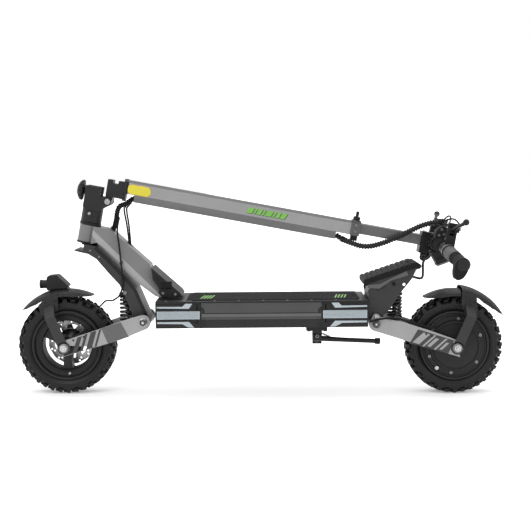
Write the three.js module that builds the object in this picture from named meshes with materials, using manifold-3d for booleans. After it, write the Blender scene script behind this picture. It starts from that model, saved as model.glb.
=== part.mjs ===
// Folding electric kick scooter, modelled folded, in millimetres.
// X runs from the front wheel (-X) to the driven rear wheel (+X), +Y is the rider's right, +Z is up.
// The origin is on the floor, half way between the two axles.
import * as THREE from 'three';
import { mergeVertices } from 'three/addons/utils/BufferGeometryUtils.js';
import Module from 'manifold-3d';

const wasm = await Module();
wasm.setup();

// ---------------------------------------------------------------- driving dimensions
const DEG = Math.PI / 180;
const GAP = 0.3;

const WHEELBASE = 1016;
const TYRE_R = 127.5;
const TYRE_HALF = 35;
const RIM_R = 92;
const RIM_HALF = 31;
const AXLE_R = 6;
const AXLE_Z = TYRE_R;
const FRONT_X = -WHEELBASE / 2;
const REAR_X = WHEELBASE / 2;

const ARM_IN = 68;
const ARM_OUT = 78;
const STAY_OUT = 81.5;
const NUT_OUT = 89;
const FRONT_PIVOT = [-303.5, 194];
const REAR_PIVOT = [298, 190];
const SHOCK_TOP_Z = 268;
const SHOCK_LOW_Z = 184;
const FRONT_SHOCK_X = -352;
const REAR_SHOCK_X = 353;
const SHOCK_PIN_R = 4;

const RAKE = 10.3 * DEG;
const HEAD_AT = [-441.6, 0, 468.4];
const STEERER_R = 15;
const HEAD_TUBE_R = 27;
const HEAD_TOP = -27;
const HEAD_LOW = -70;

const DECK_FRONT = -267.5;
const DECK_REAR = 277;
const CAP_FRONT_END = -150;
const CAP_REAR_START = 157;
const DECK_HALF = 103;
const DECK_LOW = 182.7;
const DECK_TOP = 256;
const DECK_TILT = -0.45 * DEG;
const LID_THICK = 4;
const MAT_THICK = 3;
const SHELL = 3.5;

// along the folded stem (u) and square to it (w), in the head frame
const FOLD_PIVOT = [37, 42.5];
const STEM_START = 80;
const STEM_END = 672;
const STEM_LOW = 52;
const STEM_TOP = 107;
const STEM_HALF = 23;
const CHANNEL_TOP = 72;
const INNER_W = 90.5;
const INNER_HALF_W = 14;
const INNER_HALF_Y = 17;
const BAR_AT = [892, 90];
const BAR_R = 11;
const GRIP_R = 16;
const KNOB_W = 60;
const BAR_BOSS_R = 16;
const HOOK_AT = [908.8, 75.3];
const HOOK_PIN_R = 2.2;
const HOOK_SLOT = 4.8;

// ---------------------------------------------------------------- solids
function bare(geometry) {
  const g = geometry.clone();
  for (const name of Object.keys(g.attributes)) {
    if (name !== 'position') g.deleteAttribute(name);
  }
  g.clearGroups();
  return mergeVertices(g, 1e-4);
}

function solid(geometry) {
  const g = bare(geometry);
  const index = Array.from(g.index.array);
  const tris = [];
  for (let i = 0; i < index.length; i += 3) {
    const [a, b, c] = index.slice(i, i + 3);
    if (a !== b && b !== c && c !== a) tris.push(a, b, c);
  }
  const body = manifoldOf(g, tris);
  return body.volume() > 0 ? body : manifoldOf(g, tris.reverse());
}

function manifoldOf(geometry, tris) {
  return new wasm.Manifold(new wasm.Mesh({
    numProp: 3,
    vertProperties: new Float32Array(geometry.attributes.position.array),
    triVerts: new Uint32Array(tris),
  }));
}

function toGeometry(manifold) {
  const m = manifold.getMesh();
  const g = new THREE.BufferGeometry();
  g.setAttribute('position', new THREE.BufferAttribute(new Float32Array(m.vertProperties), 3));
  g.setIndex(Array.from(m.triVerts));
  return g;
}

const join = (...parts) => parts.reduce((a, b) => a.add(b));
const cut = (body, ...tools) => tools.reduce((a, b) => a.subtract(b), body);

function box(x0, x1, y0, y1, z0, z1) {
  const g = new THREE.BoxGeometry(x1 - x0, y1 - y0, z1 - z0);
  g.translate((x0 + x1) / 2, (y0 + y1) / 2, (z0 + z1) / 2);
  return solid(g);
}

// a rod between two points
function rod(from, to, radius, sides = 16) {
  const a = new THREE.Vector3(...from);
  const b = new THREE.Vector3(...to);
  const along = b.clone().sub(a);
  const g = new THREE.CylinderGeometry(radius, radius, along.length(), sides);
  const up = new THREE.Vector3(0, 1, 0);
  g.applyQuaternion(new THREE.Quaternion().setFromUnitVectors(up, along.normalize()));
  g.translate((a.x + b.x) / 2, (a.y + b.y) / 2, (a.z + b.z) / 2);
  return solid(g);
}

// a rod across the scooter, along Y
const pin = (at, y0, y1, radius, sides = 16) => rod([at[0], y0, at[1]], [at[0], y1, at[1]], radius, sides);

const pinY = (x, z, y0, y1, radius) => pin([x, z], y0, y1, radius, 12);

// a rod along X at a height
const pinX = (x0, x1, z, radius) => rod([x0, 0, z], [x1, 0, z], radius, 20);

// a box whose two y values may come in either order
const boxY = (x0, x1, ya, yb, z0, z1) => box(x0, x1, Math.min(ya, yb), Math.max(ya, yb), z0, z1);

// a box from its three spans
const spanBox = ([x0, x1], [y0, y1], [z0, z1]) => box(x0, x1, y0, y1, z0, z1);

// an outline in (x, z) extruded along Y from y0 to y1
function plate(points, y0, y1) {
  const shape = new THREE.Shape(points.map(([x, z]) => new THREE.Vector2(x, z)));
  const g = new THREE.ExtrudeGeometry(shape, { depth: y1 - y0, bevelEnabled: false });
  g.rotateX(Math.PI / 2);
  g.translate(0, y1, 0);
  return solid(g);
}

// a pair of plates, one on each side of the centre plane
const platePair = (points, y0, y1) => join(plate(points, y0, y1), plate(points, -y1, -y0));

// an outline in (y, z) extruded along X
function beam(points, x0, x1) {
  const shape = new THREE.Shape(points.map(([y, z]) => new THREE.Vector2(y, z)));
  const g = new THREE.ExtrudeGeometry(shape, { depth: x1 - x0, bevelEnabled: false });
  g.applyMatrix4(new THREE.Matrix4().set(0, 0, 1, x0, 1, 0, 0, 0, 0, 1, 0, 0, 0, 0, 0, 1));
  return solid(g);
}

// points of an arc about a centre, from one angle to another, in degrees
function arc(centre, radius, from, to, steps) {
  const points = [];
  for (let i = 0; i <= steps; i += 1) {
    const a = (from + ((to - from) * i) / steps) * DEG;
    points.push([centre[0] + radius * Math.cos(a), centre[1] + radius * Math.sin(a)]);
  }
  return points;
}

// a profile of (radius, y) points turned about the Y axis, flats square to Z, moved to a wheel centre
function turned(profile, x, z, segments = 40) {
  const grow = 1 / Math.cos(Math.PI / segments);
  const points = profile.map(([r, y]) => new THREE.Vector2(r * grow, y));
  const g = new THREE.LatheGeometry(points, segments, Math.PI / segments);
  g.translate(x, 0, z);
  return solid(g);
}

// a profile of (radius, height) points turned about an axis that starts at a point
function spun(profile, at, direction, segments = 24) {
  const points = profile.map(([r, h]) => new THREE.Vector2(r, h));
  const g = new THREE.LatheGeometry(points, segments);
  const up = new THREE.Vector3(0, 1, 0);
  const axis = new THREE.Vector3(...direction).normalize();
  g.applyQuaternion(new THREE.Quaternion().setFromUnitVectors(up, axis));
  g.translate(...at);
  return solid(g);
}

// a round tube along a smooth curve through points
function hose(points, radius, steps, sides = 8) {
  const curve = new THREE.CatmullRomCurve3(points.map((p) => new THREE.Vector3(...p)), false, 'centripetal');
  const section = new THREE.Shape(
    Array.from({ length: sides }, (_, i) => {
      const a = (i / sides) * 2 * Math.PI;
      return new THREE.Vector2(radius * Math.cos(a), radius * Math.sin(a));
    }),
  );
  return solid(new THREE.ExtrudeGeometry(section, { steps, extrudePath: curve, bevelEnabled: false }));
}

// a strip of metal along a straight line, wide in the XZ plane and thin along Y
function strap(from, to, width, thick) {
  const dx = to[0] - from[0];
  const dz = to[2] - from[2];
  const length = Math.hypot(dx, dz);
  const nx = (-dz / length) * (width / 2);
  const nz = (dx / length) * (width / 2);
  const positions = [];
  for (const [end, side] of [[from, -1], [from, 1], [to, 1], [to, -1]]) {
    for (const t of [-thick / 2, thick / 2]) {
      positions.push(end[0] + side * nx, end[1] + t, end[2] + side * nz);
    }
  }
  const index = [];
  const quad = (a, b, c, d) => index.push(a, b, c, a, c, d);
  quad(0, 6, 4, 2);
  quad(1, 3, 5, 7);
  for (let i = 0; i < 4; i += 1) {
    const j = (i + 1) % 4;
    quad(2 * i, 2 * j, 2 * j + 1, 2 * i + 1);
  }
  const g = new THREE.BufferGeometry();
  g.setAttribute('position', new THREE.BufferAttribute(new Float32Array(positions), 3));
  g.setIndex(index);
  return solid(g);
}

// ---------------------------------------------------------------- materials and the scene graph
const finish = (color, roughness, metalness) => ({ color, roughness, metalness });
const SILVER = finish(0xb4b4b8, 0.38, 0.8);
const STEM_GREY = finish(0xa9a9ad, 0.42, 0.75);
const NECK_GREY = finish(0x9a9a9c, 0.45, 0.7);
const DARK_METAL = finish(0x55555a, 0.45, 0.6);
const TUBE_GREY = finish(0x6b6b6e, 0.4, 0.7);
const BLACK_METAL = finish(0x1f1f22, 0.45, 0.5);
const BLACK_PLASTIC = finish(0x26262a, 0.55, 0.05);
const RUBBER = finish(0x1c1c1e, 0.85, 0);
const TYRE = finish(0x202022, 0.9, 0);
const MAT = finish(0x2c2e2c, 0.9, 0);
const LENS = finish(0xb4c0c4, 0.2, 0.1);
const STEEL = finish(0xb0b2b4, 0.3, 0.9);
const CELL_GREEN = finish(0x3c6e4a, 0.6, 0);
const GREY_DECK = finish(0x646664, 0.5, 0.6);

const scooter = new THREE.Group();
const head = new THREE.Group();
head.position.set(...HEAD_AT);
head.rotation.y = RAKE;
scooter.add(head);
const deck = new THREE.Group();
deck.rotation.y = DECK_TILT;
scooter.add(deck);

function add(group, name, body, look) {
  const mesh = new THREE.Mesh(toGeometry(body), new THREE.MeshStandardMaterial(look));
  mesh.name = name;
  group.add(mesh);
  return mesh;
}

// a point of the head frame in the scooter's frame, as (x, z)
function inWorld(u, w) {
  return [
    HEAD_AT[0] + u * Math.cos(RAKE) + w * Math.sin(RAKE),
    HEAD_AT[2] - u * Math.sin(RAKE) + w * Math.cos(RAKE),
  ];
}

// ---------------------------------------------------------------- wheels
const TYRE_PROFILE = [
  [RIM_R - 4, -26], [RIM_R + 4, -32], [RIM_R + 12, -TYRE_HALF], [118, -33], [124.5, -26],
  [TYRE_R, -14], [TYRE_R, 14], [124.5, 26], [118, 33], [RIM_R + 12, TYRE_HALF], [RIM_R + 4, 32],
  [RIM_R - 4, 26], [RIM_R - 4, -26],
];

function tyre(name, x) {
  add(scooter, name, turned(TYRE_PROFILE, x, AXLE_Z, 40), TYRE);
}

function frontRim() {
  const ring = turned([
    [68, -27], [82, -RIM_HALF], [RIM_R - 4.5, -27], [RIM_R - 4.5, 27], [82, RIM_HALF], [68, 27], [68, -27],
  ], FRONT_X, AXLE_Z);
  const hub = turned([[AXLE_R + GAP, -38], [22, -38], [24, -20], [24, 20], [26, 38], [AXLE_R + GAP, 38],
    [AXLE_R + GAP, -38]], FRONT_X, AXLE_Z, 24);
  let rim = join(ring, hub);
  for (const angle of [-90, 30, 150]) {
    const spoke = new THREE.BoxGeometry(58, 36, 20);
    spoke.translate(46, 0, 0);
    spoke.rotateY(-angle * DEG);
    spoke.translate(FRONT_X, 0, AXLE_Z);
    rim = join(rim, solid(spoke));
  }
  add(scooter, 'front_rim', rim, BLACK_METAL);
}

const DISC_R = 62;

function brakeDisc() {
  let disc = turned([[AXLE_R + 4, 38.3], [26, 38.3], [28, 45], [DISC_R, 45], [DISC_R, 48], [AXLE_R + 4, 48],
    [AXLE_R + 4, 38.3]], FRONT_X, AXLE_Z, 40);
  for (let i = 0; i < 6; i += 1) {
    const hole = new THREE.BoxGeometry(14, 10, 22);
    hole.translate(43, 46.5, 0);
    hole.rotateY(i * 60 * DEG);
    hole.translate(FRONT_X, 0, AXLE_Z);
    disc = cut(disc, solid(hole));
  }
  add(scooter, 'brake_disc', disc, STEEL);
}

function hubMotor() {
  const body = turned([
    [AXLE_R + GAP, -52], [18, -52], [22, -47], [62, -44], [66, -36], [78, -33], [82, -31], [RIM_R - 4.5, -27],
    [RIM_R - 4.5, 27], [82, 31], [78, 33], [66, 36], [62, 44], [22, 47], [18, 52], [AXLE_R + GAP, 52],
    [AXLE_R + GAP, -52],
  ], REAR_X, AXLE_Z, 32);
  add(scooter, 'hub_motor', body, BLACK_METAL);
}

function axle(name, x) {
  const at = [x, AXLE_Z];
  const body = join(
    pin(at, -NUT_OUT, NUT_OUT, AXLE_R, 20),
    pin(at, -NUT_OUT, -STAY_OUT - GAP, 11, 6),
    pin(at, STAY_OUT + GAP, NUT_OUT, 11, 6),
  );
  add(scooter, name, body, STEEL);
}

// ---------------------------------------------------------------- swing arms, shocks and springs
const FRONT_ARM = [
  [-503.5, 148], [-426.5, 173.4], [-341.6, 203], [-309, 212.2],
  ...arc(FRONT_PIVOT, 19, 90, -65, 6),
  [-362, 149], [-426.5, 129.7], [-517, 103],
];
const REAR_ARM = [
  [284, 203], ...arc([297.5, 205], 11, 170, 20, 4), [332.4, 201], [358, 197.8], [435.3, 173.4], [503.5, 149],
  [516, 103.5], [435.3, 127.1], [371, 147.7], ...arc(REAR_PIVOT, 19, -115, -190, 4),
];

function swingArm(name, outline, pivot, shockX, wheelX) {
  const arms = join(
    platePair(outline, ARM_IN, ARM_OUT),
    pin([shockX, SHOCK_LOW_Z], -ARM_IN - 1, ARM_IN + 1, SHOCK_PIN_R + 2, 16),
  );
  const bores = join(
    pin([wheelX, AXLE_Z], -90, 90, AXLE_R + GAP, 20),
    pin(pivot, -90, 90, 6 + GAP, 20),
  );
  add(scooter, name, cut(arms, bores), SILVER);
}

// the shaft an arm swings on, with a head outside each arm plate
function pivotShaft(pivot) {
  return join(
    pin(pivot, -ARM_OUT - 5, ARM_OUT + 5, 6, 20),
    pin(pivot, -ARM_OUT - 5, -ARM_OUT - GAP, 10, 16),
    pin(pivot, ARM_OUT + GAP, ARM_OUT + 5, 10, 16),
  );
}

const SPRING_LOW = 199;
const SPRING_HIGH = 255;
const SPRING_R = 18.5;
const WIRE_R = 2.6;

function shock(side, x) {
  const top = [x, SHOCK_TOP_Z];
  const low = [x, SHOCK_LOW_Z];
  const upper = cut(
    join(
      pin(top, -9, 9, 9, 16),
      rod([x, 0, SPRING_HIGH + GAP + 2.6], [x, 0, SPRING_HIGH + 8], 21, 24),
      rod([x, 0, 228], [x, 0, SPRING_HIGH + 6], 12, 20),
    ),
    pin(top, -20, 20, SHOCK_PIN_R + GAP, 16),
    rod([x, 0, 220], [x, 0, 262], 6.5, 16),
  );
  add(scooter, `${side}_shock_body`, upper, BLACK_METAL);
  const lower = cut(
    join(
      pin(low, -9, 9, 11, 16),
      rod([x, 0, 190], [x, 0, SPRING_LOW - WIRE_R - GAP], 21, 24),
      rod([x, 0, 190], [x, 0, 250], 6, 16),
    ),
    pin(low, -20, 20, SHOCK_PIN_R + 2.5, 16),
  );
  add(scooter, `${side}_shock_rod`, lower, STEEL);
  const turns = 5;
  const points = [];
  for (let i = 0; i <= turns * 8; i += 1) {
    const a = (i / 8) * 2 * Math.PI;
    const z = SPRING_LOW + ((SPRING_HIGH - SPRING_LOW) * i) / (turns * 8);
    points.push([x + SPRING_R * Math.cos(a), SPRING_R * Math.sin(a), z]);
  }
  add(scooter, `${side}_spring`, hose(points, WIRE_R, turns * 8, 6), BLACK_METAL);
}

// ---------------------------------------------------------------- mudguards and headlight
const SKIRT_IN = 44;
const SKIRT_OUT = 47;

function mudguard(name, x, sweep, skirt, strut) {
  const centre = [x, AXLE_Z];
  const outline = [];
  for (const [radius, from, to] of sweep) outline.push(...arc(centre, radius, from, to, 6));
  const inner = sweep.map(([radius, from, to]) => arc(centre, radius - 5, from, to, 6)).flat().reverse();
  let body = plate([...outline, ...inner], -SKIRT_OUT, SKIRT_OUT);
  const shape = skirt.map(([dx, dz]) => [x + dx, AXLE_Z + dz]);
  body = join(body, platePair(shape, SKIRT_IN, SKIRT_OUT));
  // a stay on each side leaves the skirt, bends out past the arm and ends in an eye on the axle
  for (const side of [-1, 1]) {
    const [top, bend, low] = strut.map(([dx, dz], i) => (
      [x + dx, side * (i === 0 ? SKIRT_OUT - 1 : STAY_OUT - 1.5), AXLE_Z + dz]
    ));
    const y0 = Math.min(side * (STAY_OUT - 3), side * STAY_OUT);
    body = join(
      body,
      strap(top, bend, 26, 3),
      strap(bend, low, 26, 3),
      plate(arc([bend[0], bend[2]], 13, 0, 345, 15), y0, y0 + 3),
      plate(arc(centre, 17, 0, 345, 23), y0, y0 + 3),
    );
  }
  body = cut(body, pin(centre, -95, 95, AXLE_R + GAP, 20));
  add(scooter, name, body, BLACK_PLASTIC);
}

function headlight() {
  const outline = [
    [-561, 297], [-558, 308], [-532, 310.5], [-503, 283.5], [-507, 278.5], [-545, 276], [-556, 270.7],
    [-560, 275],
  ];
  const body = join(plate(outline, -24, 24), pinX(-575, -556, 286, 11));
  add(scooter, 'headlight', body, BLACK_PLASTIC);
}

function caliper() {
  const at = [FRONT_X + 46, AXLE_Z + 54];
  const blockShape = [
    [at[0] - 20, at[1] + 2], [at[0] - 8, at[1] + 20], [at[0] + 16, at[1] + 14], [at[0] + 22, at[1] - 4],
    [at[0] + 4, at[1] - 20], [at[0] - 12, at[1] - 14],
  ];
  const body = cut(
    join(plate(blockShape, 38.5, 60), plate([
      [at[0], at[1] - 12], [at[0] + 20, at[1] + 4], [at[0] + 30, at[1] - 18], [at[0] + 10, at[1] - 34],
    ], 50, ARM_IN - GAP)),
    turned([[10, 44], [DISC_R + 2, 44], [DISC_R + 2, 49], [10, 49], [10, 44]], FRONT_X, AXLE_Z, 40),
  );
  add(scooter, 'caliper', body, BLACK_METAL);
}

// ---------------------------------------------------------------- deck
const skinPoints = (inset) => [
  [-DECK_HALF + inset, DECK_TOP - MAT_THICK - LID_THICK - GAP],
  [-DECK_HALF + inset, 206],
  [-DECK_HALF + 9 + inset, DECK_LOW + inset],
  [DECK_HALF - 9 - inset, DECK_LOW + inset],
  [DECK_HALF - inset, 206],
  [DECK_HALF - inset, DECK_TOP - MAT_THICK - LID_THICK - GAP],
];

function openShell(x0, x1, wallFront, wallRear) {
  const inside = skinPoints(SHELL);
  inside[0] = [inside[0][0], DECK_TOP + 5];
  inside[5] = [inside[5][0], DECK_TOP + 5];
  return cut(beam(skinPoints(0), x0, x1), beam(inside, x0 + wallFront, x1 - wallRear));
}

const LIGHT_LOW = 195;
const LIGHT_HIGH = 244;

// side windows of an end cap: one clear band down each side, joined across the inside
function sideLights(name, x0, x1, crossX) {
  const band = (y0, y1) => box(x0, x1, y0, y1, LIGHT_LOW + GAP, LIGHT_HIGH - GAP);
  const body = join(
    band(-DECK_HALF - 0.5, -DECK_HALF + SHELL + 3),
    band(DECK_HALF - SHELL - 3, DECK_HALF + 0.5),
    box(crossX, crossX + 6, -DECK_HALF + 2, DECK_HALF - 2, LIGHT_LOW + 2, LIGHT_LOW + 8),
  );
  add(deck, name, body, LENS);
}

function deckParts() {
  const bandHole = (x0, x1) => box(x0 - GAP, x1 + GAP, -DECK_HALF - 5, DECK_HALF + 5, LIGHT_LOW, LIGHT_HIGH);
  const frontLight = [-262, -160];
  const rearLight = [167, 271];
  const frontCap = cut(openShell(DECK_FRONT, CAP_FRONT_END, 5, -1), bandHole(...frontLight));
  add(deck, 'front_end_cap', frontCap, BLACK_PLASTIC);
  const rearCap = cut(openShell(CAP_REAR_START, DECK_REAR, -1, 5), bandHole(...rearLight));
  add(deck, 'rear_end_cap', rearCap, BLACK_PLASTIC);
  sideLights('front_side_lights', ...frontLight, -250);
  sideLights('rear_side_lights', ...rearLight, 262);

  const tray = openShell(CAP_FRONT_END + GAP, CAP_REAR_START - GAP, -1, -1);
  add(deck, 'deck_tray', join(tray, standBracket()), GREY_DECK);
  const lidZ = DECK_TOP - MAT_THICK - LID_THICK;
  add(deck, 'deck_lid', box(DECK_FRONT, DECK_REAR, -DECK_HALF, DECK_HALF, lidZ, lidZ + LID_THICK), GREY_DECK);
  add(deck, 'deck_mat', box(-190, 258, -90, 90, lidZ + LID_THICK + GAP, DECK_TOP + GAP), MAT);
  const floor = DECK_LOW + SHELL + GAP;
  add(deck, 'battery_pack', box(-225, 110, -84, 84, floor, lidZ - 6), CELL_GREEN);
  add(deck, 'motor_controller', box(118, 250, -50, 50, floor, floor + 38), STEEL);
}

// ---------------------------------------------------------------- neck and its cover
const NECK_SIDE = [
  inWorld(14, -14), [-410.4, 449.5], [-287, 339.6], [-286, 332.5], [-217, 269], [-211, 256.6],
  [-268, 256.6], [-271, 262], [-311.5, 292.5], [-353.7, 333.5], [-399, 378], [-424, 398], inWorld(14, -72),
];
const NECK_HALF = 44;

// the neck's section is widest at a ridge that runs down it, and narrows above and below
function neckSection() {
  const ridgeTop = [-429.9, 427.4];
  const ridgeLow = [-267, 267.5];
  const dx = ridgeLow[0] - ridgeTop[0];
  const dz = ridgeLow[1] - ridgeTop[1];
  const length = Math.hypot(dx, dz);
  const along = new THREE.Vector3(dx / length, 0, dz / length);
  const out = new THREE.Vector3(-along.z, 0, along.x);
  const half = [[-40, -60], [-NECK_HALF, 0], [-31, 40], [-31, 80]];
  const section = [...half, ...half.map(([y, n]) => [-y, n]).reverse()];
  const shape = new THREE.Shape(section.map(([y, n]) => new THREE.Vector2(y, n)));
  const g = new THREE.ExtrudeGeometry(shape, { depth: length + 260, bevelEnabled: false });
  const m = new THREE.Matrix4().makeBasis(new THREE.Vector3(0, -1, 0), out, along);
  m.setPosition(ridgeTop[0] - along.x * 90, 0, ridgeTop[1] - along.z * 90);
  g.applyMatrix4(m);
  return solid(g);
}

function headRod(w0, w1, radius, sides = 32) {
  const toWorld = (w) => [
    HEAD_AT[0] + w * Math.sin(RAKE), 0, HEAD_AT[2] + w * Math.cos(RAKE),
  ];
  return rod(toWorld(w0), toWorld(w1), radius, sides);
}

function neckBody() {
  let body = plate(NECK_SIDE, -NECK_HALF, NECK_HALF).intersect(neckSection());
  body = cut(body, headRod(HEAD_TOP, 60, 60), headRod(-160, HEAD_LOW, 32));
  body = join(body, headRod(HEAD_LOW, HEAD_TOP, HEAD_TUBE_R));
  const hollow = [
    [-405, 402], [-372, 378], [-300, 312], [-268, 275], [-262, 250], [-300, 250], [-360, 300], [-420, 360],
  ];
  return cut(
    body,
    cut(plate(hollow, -36, 36), headRod(-200, 20, HEAD_TUBE_R)),
    headRod(HEAD_LOW - 5, HEAD_TOP + 5, STEERER_R + GAP),
  );
}

const COVER_SIDE = [
  [-283, 334], [-209, 269], [-203, 260], [-207, 258.4], [-256, 257.2], [-266, 269],
  [-262, 275.4], [-263.6, 283], [-279, 301.3],
];
const COVER_HALF = 57;
const PORT = { x0: -256, x1: -230, z0: 281, z1: 296 };

function neckParts() {
  const neck = neckBody();
  const grommetHole = rod([-385, 0, 440], [-398, 0, 395], 8.5, 16);
  const cableHole = rod([-338, 8, 410], [-350, 8, 360], 10, 16);
  add(scooter, 'neck', cut(neck, grommetHole, cableHole), NECK_GREY);
  const clearance = join(
    plate(NECK_SIDE.map(([x, z]) => [x + GAP, z + GAP]), -NECK_HALF - GAP, NECK_HALF + GAP),
    plate(NECK_SIDE.map(([x, z]) => [x, z]), -NECK_HALF - GAP, NECK_HALF + GAP),
  );
  const { x0, x1, z0, z1 } = PORT;
  const portHole = box(x0 - GAP, x1 + GAP, -COVER_HALF - 5, -COVER_HALF + 3, z0 - 1.2, z1 + GAP);
  const cover = cut(plate(COVER_SIDE, -COVER_HALF, COVER_HALF), clearance, portHole);
  add(scooter, 'neck_cover', cover, BLACK_PLASTIC);
  add(scooter, 'charge_port_cap', box(x0, x1, -COVER_HALF - 2, -COVER_HALF + 2.4, z0, z1), RUBBER);
}

// ---------------------------------------------------------------- fork
const FORK_TOP = -76;
const FORK_HALF = 50;

function forkParts() {
  const outline = [
    inWorld(-2, FORK_TOP), inWorld(30, FORK_TOP), [-396, 359.5], [-357, 318], [-324, 280.5], [-314, 258],
    [-303, 232], [-293, 208], ...arc(FRONT_PIVOT, 17, 35, -150, 8), [-331, 206], [-347, 247], [-358, 273],
    [-366, 289], [-392, 317], [-425, 356], [-446, 369], [-464, 373], [-482, 377.5], [-481.5, 380.5],
    [-459, 377], [-457.5, 389],
  ];
  const cavity = [
    [-392, 346], [-358, 309], [-331, 276], [-321, 253], [-309, 226], [-306, 160], [-420, 160], [-420, 318],
  ];
  let body = cut(plate(outline, -FORK_HALF, FORK_HALF), plate(cavity, -41, 41));
  body = join(
    body,
    headRod(FORK_TOP - 4, 30, STEERER_R, 24),
    pin(FRONT_PIVOT, -ARM_IN + GAP, ARM_IN - GAP, 14, 20),
    pivotShaft(FRONT_PIVOT),
    pin([FRONT_SHOCK_X, SHOCK_TOP_Z], -42, 42, SHOCK_PIN_R, 16),
  );
  add(scooter, 'fork', cut(body, headRod(-40, 40, 10, 16)), DARK_METAL);
}

// ---------------------------------------------------------------- folding hinge
const CHEEK_IN = 23.5;
const CHEEK_OUT = 31;
const HINGE_FLOOR = 33;
const HINGE_LEFT = -24;
const HINGE_WALL = -21.2;
const BLOCK_HALF = 22.5;

function hingeParts() {
  const cheeks = [
    [HINGE_LEFT, 20], [HINGE_LEFT, 75.4], [16.4, 75.4], [16.4, 52], [30, 52.5],
    ...arc(FOLD_PIVOT, 10.5, 75, -50, 6), [26, 22], [18, 14], [-16, 14],
  ];
  let base = join(
    platePair(cheeks, CHEEK_IN, CHEEK_OUT),
    rod([0, 0, -18], [0, 0, HINGE_FLOOR], 27, 32),
    box(HINGE_LEFT, 20, -CHEEK_OUT, CHEEK_OUT, 20, HINGE_FLOOR),
    box(HINGE_LEFT, HINGE_WALL, -CHEEK_OUT, CHEEK_OUT, 25, 75.4),
    rod([-2, -29.5, 0], [-2, 0, 0], 5, 6),
  );
  base = cut(
    base,
    rod([0, 0, -30], [0, 0, 50], STEERER_R + GAP, 24),
    rod([-40, 0, KNOB_W], [-15, 0, KNOB_W], 5.5 + GAP, 16),
    pin(FOLD_PIVOT, -40, 40, 5 + GAP, 16),
  );
  add(head, 'hinge_base', base, DARK_METAL);
  const foldPin = join(
    pin(FOLD_PIVOT, -CHEEK_OUT - 3, CHEEK_OUT + 3, 5, 16),
    pin(FOLD_PIVOT, -CHEEK_OUT - 3, -CHEEK_OUT - GAP, 7.5, 16),
    pin(FOLD_PIVOT, CHEEK_OUT + GAP, CHEEK_OUT + 3, 7.5, 16),
  );
  add(head, 'fold_pin', foldPin, STEEL);

  const knob = spun([
    [0, 0], [5.5, 0], [5.5, 5], [9, 5], [9, 8], [11, 9], [26, 10], [27.5, 13], [24, 20], [15, 25.5],
    [0, 27.5],
  ], [HINGE_WALL - GAP, 0, KNOB_W], [-1, 0, 0], 24);
  add(head, 'lock_knob', knob, BLACK_PLASTIC);
}

function stemBlock() {
  const ear = [
    [28.3, 57], [28.3, 44], ...arc(FOLD_PIVOT, 9, 175, 365, 8), [49, 57],
  ];
  const profile = [
    [28.3, 57], [50, 55.8], [72, 54.8], [72, 100.2], [56.5, 100.2], [56.5, 91.5], [42.5, 91.5], [42.5, 100.2],
    [28.3, 100.2],
  ];
  const collar = [
    [-STEM_HALF - 2, CHANNEL_TOP], [-14, STEM_LOW - 1], [14, STEM_LOW - 1], [STEM_HALF + 2, CHANNEL_TOP],
    [STEM_HALF + 2, STEM_TOP - 5], [17, STEM_TOP + 1.5], [-17, STEM_TOP + 1.5],
    [-STEM_HALF - 2, STEM_TOP - 5],
  ];
  const body = join(
    plate(profile, -BLOCK_HALF, BLOCK_HALF),
    plate(ear, -BLOCK_HALF, BLOCK_HALF),
    beam(collar, 71.5, STEM_START - GAP),
  );
  add(head, 'stem_hinge_block', cut(body, pin(FOLD_PIVOT, -40, 40, 5 + GAP, 16)), DARK_METAL);
}

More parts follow.
